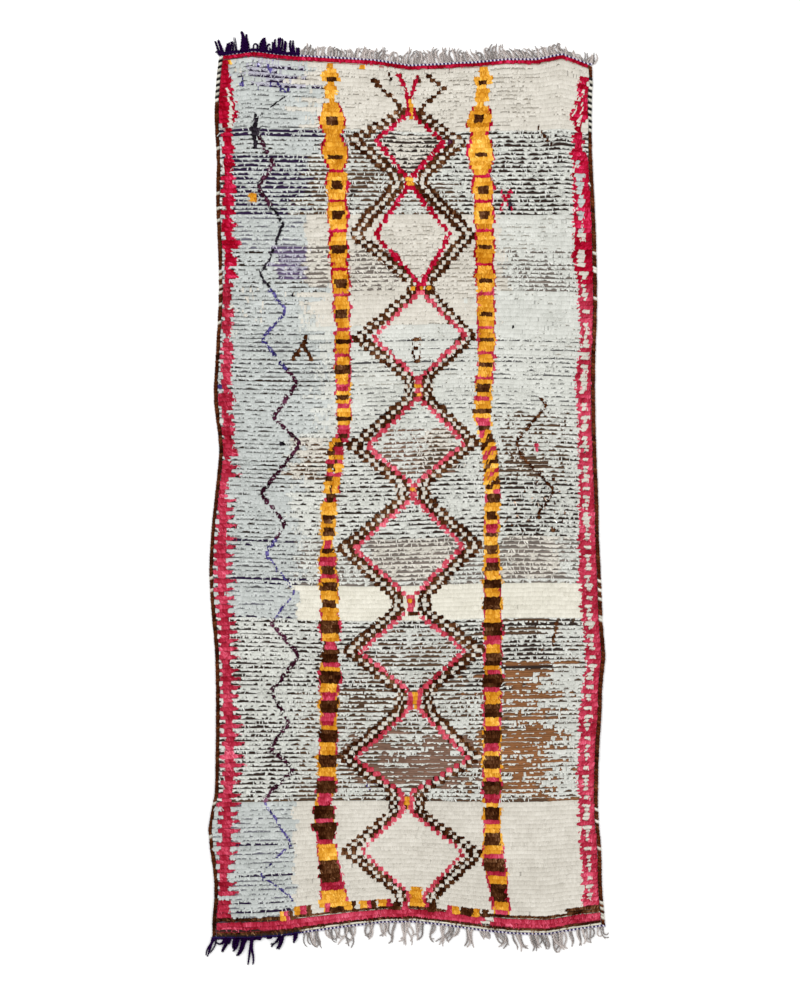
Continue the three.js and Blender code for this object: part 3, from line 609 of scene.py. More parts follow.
class Chart:
    """Which wool each tuft has, how far it covers its row, and the weft that shows below it."""

    def __init__(self):
        rows = np.arange(KNOT_ROWS)
        share = (np.arange(TUFTS) + 0.5) / TUFTS
        self.across, self.along = field_place(share[None, :], (2 * (KNOT_ROWS - rows) - 1)[:, None])
        self.rows = np.repeat(rows[:, None], TUFTS, 1)
        shape = self.across.shape
        self.wool, self.weft = np.zeros(shape, int), np.zeros(shape, int)
        self.cover, self.slim = np.ones(shape), np.ones(shape)
        self.bare, self.slope, self.drop = np.zeros(shape), np.zeros(shape), np.zeros(shape)
        self.knotted = np.zeros(shape, bool)

    def drift(self, seed, reach, height=1):
        return drift(seed, self.across, self.rows, reach, height)

    def put(self, row, places, **values):
        """Writes values at some places of a row."""
        for name, value in values.items():
            getattr(self, name)[row, places] = value

    def thread(self, row, here, below, wool, slim=0.62):
        """One tuft that runs from a place in its row to a place in the row below it."""
        column = int(np.argmin(abs(self.across[row] - here)))
        slope = math.atan2(min(max(below - here, -THREAD_LEAN), THREAD_LEAN), ROW_PITCH)
        self.put(row, column, wool=WOOLS.index(wool), cover=THREAD_REACH / math.cos(slope), bare=0,
                 knotted=True, slope=slope, slim=slim)

    def fill(self, row, left, right, wool, cover=SQUARE, slim=1.0):
        """Knots of one wool from one place in a row to another."""
        if 0 <= row < KNOT_ROWS:
            left, right = left + EDGE_SWAY * unevenness(row, left), right + EDGE_SWAY * unevenness(row, right)
            place = self.across[row]
            hit = inside(place, left, right)
            edge = np.clip(1 - np.minimum(place - left, right - place)[hit] / EDGE_SOFT, 0, 1)
            self.put(row, hit, wool=WOOLS.index(wool), cover=cover - EDGE_SHORT * edge, drop=EDGE_DROP * edge,
                     bare=0, knotted=True, slope=0, slim=slim)

    def knot(self, row, middle, wool, wide=KNOT, cover=SQUARE):
        """Knots of one wool about the middle of a motif."""
        self.fill(row, middle - wide / 2, middle + wide / 2, wool, cover)

    def ground(self):
        """Wefts and plain pile, zone by zone, with their flecks and open rows."""
        scatter = 0.6 * self.drift(18, TUFT) + 0.6 * self.drift(19, 24, 2)
        for zone in ZONES:
            for row in range(zone.top, zone.end):
                left = zone.left + zone.rag * unevenness(row, zone.left)
                right = zone.right + zone.rag * unevenness(row, zone.right)
                hit = inside(self.across[row] + zone.rag * scatter[row], left, right)
                self.put(row, hit, weft=WEFTS.index(zone.weft), wool=WOOLS.index(zone.pile),
                         cover=1 - zone.shown, bare=zone.bare)
        for number, fleck in enumerate(FLECKS):
            stretch = (self.rows >= fleck.top) & (self.rows < fleck.end)
            stretch &= inside(self.across, fleck.left, fleck.right)
            draw = 0.5 + 0.5 * self.drift(60 + number, 2 * TUFT)
            level = fleck.share * (FLECK_HIGH - FLECK_LOW) + FLECK_LOW
            self.wool[stretch & (draw < level)] = WOOLS.index(fleck.wool)
        for stripe in STRIPES:
            hit = inside(self.across[stripe.row], stripe.left, stripe.right)
            self.put(stripe.row, hit, weft=WEFTS.index(stripe.weft), cover=1 - stripe.shown)

    def course(self, row, middle, wool, wide, edge):
        """One row of a ladder, with a tuft or two of another wool at both its edges."""
        if edge:
            left, right = (wide / 2 + TUFT * (1 + 0.6 * (unevenness(row, side) > 0.4)) for side in (1, 2))
            self.fill(row, middle - left, middle + right, edge, SQUARE, 0.75)
        self.knot(row, middle, wool, wide)

    def tip(self, bends, row):
        """Finial of a ladder: a point, two arms beside a brown bar, and a waist."""
        for wide in (*FINIAL_POINT, FINIAL_ARMS):
            self.knot(row, way(bends, row), "yellow", wide)
            row += 1
        self.knot(row - 1, way(bends, row - 1), "brown", FINIAL_BAR)
        return row

    def cell(self, bends, row, cell, edged):
        """One block of a ladder, which swells to its middle, its bar and the red line under it."""
        body = cell.rows - cell.line
        for k in range(cell.rows):
            middle = way(bends, row)
            if k >= body:
                self.knot(row, middle, red(row), cell.neck + 8)
            else:
                full = math.sin(math.pi * (k + 0.5) / body) ** 0.8
                wide = 0.92 * (cell.neck + (cell.wide - cell.neck) * full)
                self.course(row, middle, "yellow", wide, red(row) if edged else "")
                if k == body - 1:
                    self.knot(row, middle, "yellow", wide, 1.75)
                if cell.bar_from <= k < cell.bar_from + cell.bar_rows:
                    self.knot(row, middle, "brown", cell.bar_wide)
            row += 1
        return row

    def courses(self, bends, row, courses):
        """Rows of a ladder below its blocks, in one wool after another."""
        for course in courses:
            for _ in range(course.rows):
                self.course(row, way(bends, row), course.wool, course.wide, course.edge)
                row += 1
        return row

    def twist(self, bends, row, end, side):
        """Stretch of a ladder whose wools turn round each other: strands at the left, bands at the right."""
        pairs = TWISTS + TWISTS[-1:] * (end - row)
        for pair, row in zip(pairs, range(row, end)):
            middle = way(bends, row)
            if side < 0:
                self.knot(row, middle + 14, "rose" if row > end - 4 else pair.right, 24)
                self.knot(row, middle + 11, pair.right, 20)
                self.knot(row, middle - 11, pair.left, 20)
                self.knot(row, middle + 2 * unevenness(row, 18), "brown", 4.2, 1.2)
            else:
                for k in range(-5, 6):
                    turn = 0.8 * row + 0.18 * k + 0.35 * unevenness(row, k)
                    place = middle + k * TUFT
                    self.thread(row, place, place + TWIST_LEAN, TWIST_BANDS[math.floor(turn) % 4], 1.0)
        return end

    def ladder(self, bends, cells, upper, twist_end, lower, side):
        """One ladder from its finial down: blocks, courses, a twisted stretch and the courses below it."""
        row = self.tip(bends, 0)
        for count, cell in enumerate(cells):
            row = self.cell(bends, row, cell, count > 0)
        row = self.courses(bends, row, upper)
        row = self.twist(bends, row, twist_end, side)
        self.courses(bends, row, lower)

    def diamonds(self):
        """Chain of diamonds: two dotted brown chains round cream knots, and a red line inside them."""
        spans = [(row, c) for c in CROSSINGS for row in (c.top, c.end)]
        centre = [Bend(row, c.across) for row, c in spans]
        closest = [Bend(row, c.inner) for row, c in spans]
        rows = range(round(CROSSINGS[0].top), round(CROSSINGS[-1].end))
        for side in (-1, 1):
            chain = [Bend(d.middle, d.dark_left if side < 0 else d.dark_right) for d in DIAMONDS]
            chain = sorted(chain + [Bend(row, c.across + side * c.outer) for row, c in spans])
            for row in rows:
                x = straight(chain, row + 0.5) + 2 * unevenness(row, side)
                middle = straight(centre, row + 0.5)
                inner = middle + side * max(side * (x - middle) - 2 * KNOT, straight(closest, row + 0.5))
                if abs(straight(chain, row + 1) - straight(chain, row)) < STEEP:
                    self.knot(row, (x + inner) / 2, "cream", abs(x - inner) + DOT, 1.0)
                    shift, wide = side * (STEEP_SHIFT if row % 2 else -STEEP_SHIFT), STEEP_DOT
                else:
                    self.knot(row, (x + inner) / 2, "cream", max(abs(x - inner) - 12, 5), 1.0)
                    shift, wide = 0, DOT
                for place in (inner, x):
                    self.knot(row, place + shift, "brown", wide, DOT_COVER)
        for side in (-1, 1):
            line = [Bend(d.middle, d.red_left if side < 0 else d.red_right) for d in DIAMONDS]
            line = sorted(line + [Bend(row, c.across + side * c.line) for row, c in spans])
            for row in rows:
                wool = "crimson" if row < CRIMSON_LINE_ROWS else "pink"
                place = straight(line, row + 0.5) + 1.5 * unevenness(row, side + 20)
                self.knot(row, place, wool, RED_LINE_WIDE)

    def strokes(self):
        """Small motifs, each stroke slanting from one row and place to another."""
        for stroke in STROKES:
            low, high = sorted((stroke.row, stroke.end))
            for row in range(int(low), max(math.ceil(high), int(low) + 1)):
                t = min(max((row + 0.5 - stroke.row) / (stroke.end - stroke.row), 0), 1)
                place = stroke.across + t * (stroke.end_across - stroke.across)
                self.knot(row, place, stroke.wool, stroke.wide, MOTIF_COVER)

    def zigzag(self, bends, threads):
        """A thin broken line of single tufts that bends from side to side."""
        for row in range(int(bends[0].row), min(int(bends[-1].row), LAST_ZIGZAG_ROW) + 1):
            thread = [t for t in threads if t.row <= row][-1]
            if abs(unevenness(row, 11)) <= thread.left:
                here, below = straight(bends, row + 0.5), straight(bends, row + 1.5)
                self.thread(row, here, below, thread.wool, thread.slim)

    def left_border(self):
        """A tall triangle, a string of beads, and below it a rose band with saw teeth on both sides."""
        for row in range(1, 16):
            left, right = straight(LEFT_TRIANGLE_FAR, row), straight(LEFT_TRIANGLE_NEAR, row)
            self.fill(row, left, right, "crimson", MOTIF_COVER)
            if row > 5:
                self.knot(row, straight(LEFT_TRIANGLE_CORE, row), "cream", 4 + 1.6 * max(row - 8, 0))
            if 5 < row < 11:
                self.knot(row, -529 + 2.2 * (row - 5), "mint", 4.5)
        for row in range(16, 195):
            middle, wool = way(LEFT_BAND, row) if row > CRIMSON_ROWS else BEADS_MIDDLE, red(row)
            self.knot(row, middle, wool, 2 * BAND_HALF, 1.1)
            if row < TEETH_FROM:
                continue
            rows_each = (LOWER_TOOTH_PITCH if row > LOWER_TEETH_FROM else TOOTH_PITCH) / ROW_PITCH
            tooth = 1 if row / rows_each % 1 < 1 / rows_each else BETWEEN_TEETH
            tooth *= 0 if inside(row, *TEETH_GAP) else 1 + 0.25 * unevenness(row, 4)
            outer, inner = middle - BAND_OUT - TOOTH_OUT * tooth, middle + BAND_IN + TOOTH_IN * tooth
            self.fill(row, outer, inner, wool, 1.2)
            for step in range(TOOTH_STEPS):
                edge = middle + BAND_IN + (TOOTH_IN + TOOTH_STEP * step) * tooth
                self.fill(row, edge - 2, edge + 5 * tooth, wool, 1.1 - 0.2 * step, 0.8)
        for bead in LEFT_BEADS:
            for row in range(int(bead.top), math.ceil(bead.end)):
                full = swell(bead, row)
                if full:
                    left, right = BEAD_CORE
                    self.fill(row, left + (bead.left - left) * full, right + (bead.right - right) * full,
                              red(row), MOTIF_COVER)
        for row in range(196, KNOT_ROWS):
            self.fill(row, -600, -530 + 14 * max(row - 199, 0), "rose", MOTIF_COVER)

    def right_border(self):
        """A tall triangle and arrow, and below them two lines with light lozenges between."""
        for row in range(3, 201):
            near, far = straight(RIGHT_NEAR, row + 0.5), straight(RIGHT_FAR, row + 0.5)
            far += 8 * (row > 60)
            self.fill(row, near + 3 * unevenness(row, 8), far + 2 * unevenness(row, 9), red(row), 1.2)
            if inside(row, *RIGHT_TRIANGLE_ROWS):
                self.knot(row, near + (far - near) * 0.62, "cream", 3 + 0.9 * (row - 6))
            if inside(row, *RIGHT_ARROW_ROWS):
                self.knot(row, near + INNER_LINE + unevenness(row, 12), "cream", 4.5)
            if inside(row, *SPECK_ROWS) and unevenness(row, 14) > 0.2:
                self.knot(row, near + INNER_LINE + 3 * unevenness(row, 15), "cream", 4.2, 0.8)
            phase = row / PATCH_PITCH % 1
            full = 1 if phase < 0.45 else 0.6 if phase < 0.7 else 0
            if row > PATCHES_FROM and full:
                middle = (near + far) / 2 - 5 + 2 * unevenness(row, 13)
                self.knot(row, middle, "cream", full * (18 + 4 * unevenness(row, 7)), 0.45 + 0.4 * full)
        for lozenge in LOZENGES:
            for row in range(int(lozenge.top), math.ceil(lozenge.end)):
                near, far = straight(RIGHT_NEAR, row + 0.5), straight(RIGHT_FAR, row + 0.5)
                full = swell(lozenge, row)
                if full:
                    middle = (near + far) / 2 - 2 + 2 * unevenness(row, 7)
                    wide = lozenge.wide * (0.4 + 0.6 * full) + (1 if row < 46 else 5)
                    self.knot(row, middle, "mint" if row < 40 else "cream", wide, 1.1)

    def bands(self):
        """Bands of both ends and the blocks above the foot's bands, over their own wefts."""
        self.weft[202] = WEFTS.index("dark")
        self.weft[203] = np.where(self.across[203] > STRIP_CHANGE, WEFTS.index("cream"), WEFTS.index("dark"))
        for band in BANDS:
            self.fill(*band)
        for block in BLOCKS:
            for row in range(block.top, block.top + block.rows):
                self.fill(row, block.left, block.right, block.wool)

    def wear(self):
        """Hand-made unevenness: lines of weft that swell, thin out and break along a row, and lost tufts."""
        line, course, patch = self.drift(11, 30), self.drift(15, 300), self.drift(12, 110, 5)
        pair, single = self.drift(16, 9), self.drift(13, TUFT)
        gap = 1 - self.cover
        gap = np.where(gap > 0.05, 0.03 + 1.08 * gap, gap)
        uneven = 1 + np.clip(2.5 * gap, 0, 1)
        fine = 1 + 0.6 * np.clip(3 * gap, 0, 1)
        broad = 0.06 * line + 0.10 * course + 0.08 * patch
        gap = gap + uneven * (broad + fine * (0.11 * pair + 0.14 * single))
        gap = np.clip(gap + np.where(self.bare > 0.05, 0.14 * self.drift(17, 16), 0), 0, 0.9)
        self.full = gap < 0.02
        plain = np.where(self.full, SHINGLE + 0.1 * single, 1 - gap)
        self.cover = np.where(self.knotted, self.cover + 0.12 * single + 0.06 * pair, plain)
        worn = 0.5 + 0.5 * (0.5 * self.drift(14, 26) + 0.7 * pair + 0.4 * single)
        self.gone = (worn < self.bare) & ~self.knotted


@lru_cache(maxsize=None)
def rug_chart():
    """The finished chart. A later motif covers an earlier one."""
    chart = Chart()
    chart.ground()
    chart.zigzag(LEFT_ZIGZAG, LEFT_THREADS)
    chart.zigzag(RIGHT_ZIGZAG, RIGHT_THREADS)
    chart.diamonds()
    chart.strokes()
    chart.left_border()
    chart.right_border()
    chart.ladder(LEFT_WAY, LEFT_CELLS, LEFT_UPPER, LEFT_TWIST_END, LEFT_LOWER, -1)
    chart.ladder(RIGHT_WAY, RIGHT_CELLS, RIGHT_UPPER, RIGHT_TWIST_END, RIGHT_LOWER, 1)
    chart.bands()
    chart.wear()
    return chart


# Sizes and colours that a user would change

def colour(name, text, rgb):
    return FloatVectorProperty(name=name, description=text, subtype="COLOR", size=3, min=0, max=1,
                               default=linear(*rgb))


def length(name, text, value):
    return FloatProperty(name=name, description=text, default=value, min=0, unit="LENGTH")


class RugSizes(bpy.types.PropertyGroup):
    """Sizes of the cloth, the pile and the yarns"""

    ground_high: length("Ground height", "Height of the ground cloth's top between two rows of knots", 0.0068)
    pile_high: length("Pile height", "Height of the pile's crests above the floor", 0.0118)
    tuft_wide: length("Tuft width", "Width of one cut tuft of pile", 0.0074)
    wrap_pitch: length("Wrap pitch", "Room that one overcast stitch takes along a side cord", 0.009)
    twine_pitch: length("Twine pitch", "Length of one full turn of the twined end strips", 0.0112)
    strand_pitch: length("Strand pitch", "Length of one full turn of a twisted fringe strand", 0.016)


class RugColours(bpy.types.PropertyGroup):
    """Colours of the wools and the floor. The pile's and the wefts' are added below from their tables"""

    side_brown: colour("Side brown", "Brown wool that the sides are overcast with", (82, 40, 18))
    side_black: colour("Side black", "Black stitches of the sides", (30, 26, 26))
    side_white: colour("Side white", "White stitches of the sides", (206, 202, 190))
    warp_purple: colour("Purple warp", "Purple warp ends of the fringes", (27, 4, 46))
    warp_grey: colour("Grey warp", "Undyed warp ends of the fringes", (188, 178, 173))
    twine_violet: colour("Twine violet", "Violet yarn of the twined ends", (34, 14, 84))
    twine_pale: colour("Twine pale", "Pale yarn of the twined ends", (212, 206, 220))
    floor: colour("Floor", "Plain pale floor", (250, 250, 250))


for wool_name, wool_rgb in PILE.items():
    RugColours.__annotations__["pile_" + wool_name] = colour(
        "Pile " + wool_name, f"The {wool_name} wool of the pile", wool_rgb)
for weft_name, weft_rgb in WEFT.items():
    RugColours.__annotations__["weft_" + weft_name] = colour(
        "Weft " + weft_name, f"The {weft_name} weft of the ground cloth", weft_rgb)


def sizes():
    return bpy.context.scene.rug_sizes


def colours():
    return bpy.context.scene.rug_colours


def tones_of(kind, names):
    """Table of the colours that a user chose for some wools or wefts."""
    return np.array([tuple(getattr(colours(), kind + name)) for name in names])


# Shader maths

class Value:
    """A node's output socket, so that shader maths reads as plain arithmetic."""

    def __init__(self, tree, socket):
        self.tree = tree
        self.socket = socket

    def maths(self, operation, first, second):
        node = self.tree.nodes.new("ShaderNodeMath")
        node.operation = operation
        for slot, value in zip(node.inputs, (first, second)):
            plug(self.tree, slot, value)
        return Value(self.tree, node.outputs[0])

    def __add__(self, other):
        return self.maths("ADD", self, other)

    def __radd__(self, other):
        return self.maths("ADD", other, self)

    def __sub__(self, other):
        return self.maths("SUBTRACT", self, other)

    def __rsub__(self, other):
        return self.maths("SUBTRACT", other, self)

    def __mul__(self, other):
        return self.maths("MULTIPLY", self, other)

    def __rmul__(self, other):
        return self.maths("MULTIPLY", other, self)


def plug(tree, slot, value):
    """Feeds a socket with a link or a constant."""
    if isinstance(value, Value):
        tree.links.new(value.socket, slot)
    elif isinstance(value, (tuple, list)) and len(value) == 3 and slot.type == "RGBA":
        slot.default_value = (*value, 1)
    else:
        slot.default_value = value


class Finish:
    """One material under construction."""

    def __init__(self, name, roughness, sheen=0.0, specular=0.15):
        self.material = bpy.data.materials.new(name)
        self.material.use_nodes = True
        self.tree = self.material.node_tree
        self.shader = self.tree.nodes["Principled BSDF"]
        self.set("Roughness", roughness)
        self.set("Specular IOR Level", specular)
        if sheen:
            self.set("Sheen Weight", sheen)
            self.set("Sheen Roughness", 0.6)

    def set(self, name, value):
        plug(self.tree, self.shader.inputs[name], value)

    def node(self, kind, settings=None, sockets=None, output=0):
        """Any node: its type, its settings, which are set first, and the values or links of its sockets."""
        node = self.tree.nodes.new(kind)
        for name, value in (settings or {}).items():
            setattr(node, name, value)
        for name, value in (sockets or {}).items():
            plug(self.tree, node.inputs[name], value)
        return Value(self.tree, node.outputs[output])

    def attribute(self, name, output="Fac"):
        return self.node("ShaderNodeAttribute", {"attribute_name": name}, output=output)

    def map(self, name, across, along):
        """The piece's own map, stretched to a pattern's scale."""
        uv = self.node("ShaderNodeUVMap", {"uv_map": name})
        return self.node("ShaderNodeMapping", None, {"Vector": uv, "Scale": (across, along, 1)})

    def maths(self, operation, value):
        return self.node("ShaderNodeMath", {"operation": operation}, {0: value})

    def noise(self, vector, detail=2.0, scale=1.0):
        return self.node("ShaderNodeTexNoise", None, {"Vector": vector, "Scale": scale, "Detail": detail})

    def waves(self, direction, scale, distortion, detail=2.0):
        """Even bands along the piece's own map, for the picks of weft or the warps."""
        settings = {"wave_type": "BANDS", "bands_direction": direction}
        return self.node("ShaderNodeTexWave", settings, {
            "Vector": self.map("fibre", 1, 1), "Scale": scale, "Distortion": distortion, "Detail": detail})

    def smooth_step(self, value, start, end):
        return self.node("ShaderNodeMapRange", {"interpolation_type": "SMOOTHSTEP"}, {
            "Value": value, "From Min": start, "From Max": end})

    def scaled(self, tone, value):
        """A colour made lighter or darker by a value."""
        return self.node("ShaderNodeVectorMath", {"operation": "SCALE"}, {0: tone, "Scale": value})

    def mixed(self, share, tone, other):
        return self.node("ShaderNodeMix", {"data_type": "RGBA"}, {0: share, 6: tone, 7: other}, output=2)

    def bump(self, height, strength, distance):
        self.set("Normal", self.node("ShaderNodeBump", None, {
            "Height": height, "Strength": strength, "Distance": distance}))


def wool_finish(name, tone, shade, ridge, streak, sheen=0.15, specular=0.15, ragged=False):
    """Spun wool with fibres along each yarn, and painted light and shade along it: darker in a yarn's valleys
    and at a tuft's root, lighter at a tuft's crest. No tone reads the wool attribute. Ragged ends let weft
    show.
    """
    finish = Finish(name, 0.92, sheen, specular)
    fibres = finish.noise(finish.map("fibre", 0.9, 0.13), 3.0)
    blotch = finish.noise(finish.map("fibre", 0.12, 0.05))
    value = (finish.attribute("shade") * shade + finish.attribute("ridge") * ridge
             + (fibres - 0.5) * streak + (blotch - 0.5) * (streak * 0.5))
    tone = finish.attribute("wool", "Color") if tone is None else tuple(tone)
    tone = finish.node("ShaderNodeGamma", None, {"Color": tone, "Gamma": 1.02 - value * 0.7})
    tone = finish.scaled(tone, 1 + value * 0.6)
    if ragged:
        hairs = finish.noise(finish.map("fibre", 0.55, 0.1))
        torn = finish.smooth_step(finish.attribute("tip") + (hairs - 0.5) * 1.3, 0.8, 0.98)
        tone = finish.mixed(torn * finish.attribute("ragged"), tone, finish.attribute("weft", "Color"))
    finish.set("Base Color", tone)
    finish.bump(fibres, 0.5, 0.0006)
    return finish.material


def cloth_finish(name):
    """Weft-faced ground cloth. Below the tufts it takes their tone, darkened a little as painted shade, and
    the weft shows between the rows.
    """
    finish = Finish(name, 0.95)
    picks = finish.waves("Y", 0.0487, 1.6, 1.0)
    warps = finish.waves("X", 0.086, 0.8)
    hairs = finish.noise(finish.map("fibre", 0.07, 0.35), 3.0)
    streaks = finish.noise(finish.map("fibre", 0.012, 0.11))
    edge = finish.noise(finish.map("fibre", 0.25, 0.02))
    # Besides their bump, the bands of picks and warps lighten and darken the weft's colour: painted shade in
    # the grooves between picks and between warps
    value = 1 + (picks - 0.5) * 0.4 + (warps - 0.5) * 0.16 + (hairs - 0.5) * 1.0 + (streaks - 0.5) * 1.1
    rows = finish.map("fibre", 1, KNOT_ROWS / CLOTH_LONG)
    level = finish.maths("FRACT", finish.node("ShaderNodeSeparateXYZ", None, {0: rows}, output=1))
    gap = finish.attribute("gap") + (edge - 0.5) * 0.12
    below = finish.smooth_step(level - gap, -0.05, 0.05)
    weft = finish.scaled(finish.attribute("weft", "Color"), value)
    finish.set("Base Color", finish.mixed(below, weft, finish.attribute("pile", "Color")))
    finish.bump(picks * 0.6 + warps * 0.4, 0.6, 0.0008)
    return finish.material


def back_finish(name, tone, other):
    """Back of the cloth, where the loops of the knots show between the wefts."""
    finish = Finish(name, 0.95)
    loops = finish.node("ShaderNodeTexBrick", {"offset": 0.5}, {
        "Vector": finish.map("fibre", 1, 1), "Color1": tone, "Color2": other,
        "Mortar": tuple(c * 0.5 for c in other), "Scale": 1.0, "Mortar Size": 0.9, "Brick Width": 7.3,
        "Row Height": 6.45})
    hairs = finish.noise(finish.map("fibre", 0.3, 0.3), 3.0)
    finish.set("Base Color", finish.scaled(loops, 0.8 + hairs * 0.4))
    finish.bump(hairs, 0.6, 0.001)
    return finish.material


# Making pieces

def finish_piece(name, mesh, materials, nodes, slot_name):
    """Puts a piece in the scene, on the rug's body and in place of its solids."""
    obj = bpy.data.objects.new(name, mesh)
    for material in materials:
        mesh.materials.append(material)
    bpy.context.scene.collection.objects.link(obj)
    mesh.shade_smooth()
    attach(obj, "root")
    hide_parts(*nodes)
    obj["rug_piece"] = True
    return obj


def finished(bm, name):
    """The mesh of a shape that is done."""
    mesh = bpy.data.meshes.new(name)
    bm.to_mesh(mesh)
    bm.free()
    return mesh


def extruded(bm, edges):
    """Extrudes edges on the spot: the new vertices, and the new edges that join them."""
    made = bmesh.ops.extrude_edge_only(bm, edges=edges)["geom"]
    verts = [item for item in made if isinstance(item, bmesh.types.BMVert)]
    kept = set(verts)
    return verts, [item for item in made if isinstance(item, bmesh.types.BMEdge) and set(item.verts) <= kept]


Station = namedtuple("Station", "centre side up wool shade", defaults=[(1, 1, 1), 0.0])

# Map of a yarn: the free margins of its cells, and how far the fibre pattern runs round it and on to the next
CELL_SIDE = 0.04
CELL_END = 0.03
FIBRE_AROUND = 16
FIBRE_STEP = 31


class Yarns:
    """Yarns swept through stations and gathered in one piece."""

    def __init__(self):
        self.bm = bmesh.new()
        verts = self.bm.verts.layers
        self.around = verts.float.new("around")
        self.along = verts.float.new("along")
        self.ridge = verts.float.new("ridge")
        self.shade = verts.float.new("shade")
        self.wool = verts.float_color.new("wool")
        self.yarn = verts.int.new("yarn")
        self.lanes = []

    def sweep(self, stations, sides, lanes=1, pointed=False, lobes=2):
        """A ring that is extruded from station to station, each a centre and the ring's two half axes."""
        bm = self.bm
        ring = bmesh.ops.create_circle(bm, cap_ends=False, segments=sides, radius=1)["verts"]
        for vert in ring:
            angle = math.atan2(vert.co.y, vert.co.x) % (2 * math.pi)
            vert[self.around] = int(angle / (2 * math.pi) * sides + 0.3) % sides / sides
            # Painted shade: darker where the ring's short axis lies, in the valleys between the plies of a
            # twisted yarn, lighter on its lobes
            vert[self.ridge] = math.cos(lobes * angle)
            vert[self.yarn] = len(self.lanes)
        edges = list({edge for vert in ring for edge in vert.link_edges})
        placed = Matrix.Identity(4)
        reached = 0.0
        for count, station in enumerate(stations):
            if count == 1:
                bmesh.ops.contextual_create(bm, geom=edges)
            if count:
                ring, edges = extruded(bm, edges)
                reached += (station.centre - stations[count - 1].centre).length
            normal = station.side.cross(station.up).normalized()
            matrix = Matrix((station.side, station.up, normal)).transposed().to_4x4()
            matrix.translation = station.centre
            bmesh.ops.transform(bm, matrix=matrix @ placed.inverted(), verts=ring)
            placed = matrix
            for vert in ring:
                vert[self.along] = reached
                vert[self.shade] = station.shade
                vert[self.wool] = (*station.wool, 1)
        if pointed:
            bmesh.ops.pointmerge(bm, verts=ring, merge_co=stations[-1].centre)
        else:
            bmesh.ops.contextual_create(bm, geom=edges)
        self.lanes.append((lanes, reached))

    def mesh(self, name, columns):
        """The finished mesh, with a map that unrolls each yarn into cells of its own."""
        bm = self.bm
        bmesh.ops.recalc_face_normals(bm, faces=bm.faces)
        bake = bm.loops.layers.uv.new("OFBake")
        fibre = bm.loops.layers.uv.new("fibre")
        starts = np.cumsum([0] + [lanes for lanes, _ in self.lanes])
        rows = -(-int(starts[-1]) // columns)
        for face in bm.faces:
            yarn = face.verts[0][self.yarn]
            lanes, total = self.lanes[yarn]
            ends = [loop.vert[self.along] / max(total, 1e-6) for loop in face.loops]
            lane = min(int(sum(ends) / len(ends) * lanes), lanes - 1)
            row, column = divmod(int(starts[yarn]) + lane, columns)
            turns = [loop.vert[self.around] for loop in face.loops]
            wraps = max(turns) - min(turns) > 0.5 and len(turns) <= 4
            for loop, turn, end in zip(face.loops, turns, ends):
                u = turn + 1 if wraps and turn < 0.5 else turn
                v = min(max(end * lanes - lane, 0), 1)
                loop[bake].uv = ((column + CELL_SIDE + (1 - 2 * CELL_SIDE) * u) / columns,
                                 (row + CELL_END + (1 - 2 * CELL_END) * v) / rows)
                loop[fibre].uv = (u * FIBRE_AROUND + yarn * FIBRE_STEP, loop.vert[self.along] / MM)
        return finished(bm, name)


def milli(*values):
    return Vector(values) * MM


# Pile

Tuft = namedtuple("Tuft", "share high wide thick")
TUFT_STATIONS = table(Tuft, (0.0, 0.36, 0.9, 0.2), (0.8, 0.86, 1.0, 0.2), (1.0, 0.5, 0.4, 0.1))


@lru_cache(maxsize=None)
def tuft_shape():
    """One lock of wool lying towards the foot end: points, faces and their maps, in shares of its size."""
    yarns = Yarns()
    stations = [Station(Vector((0, -t.share, t.high)), Vector((t.wide, 0, 0)), Vector((0, 0, t.thick)))
                for t in TUFT_STATIONS]
    yarns.sweep(stations, 3, pointed=True)
    mesh = yarns.mesh("tuft", 1)
    points = np.array([v.co for v in mesh.vertices])
    faces = [list(p.vertices) for p in mesh.polygons]
    bake = mesh.uv_layers["OFBake"].data
    cell = np.array([tuple(bake[k].uv) for p in mesh.polygons for k in p.loop_indices])
    bpy.data.meshes.remove(mesh)
    return points, faces, cell


# Width over which the fibre pattern differs from tuft to tuft
FIBRE_SPREAD = 400


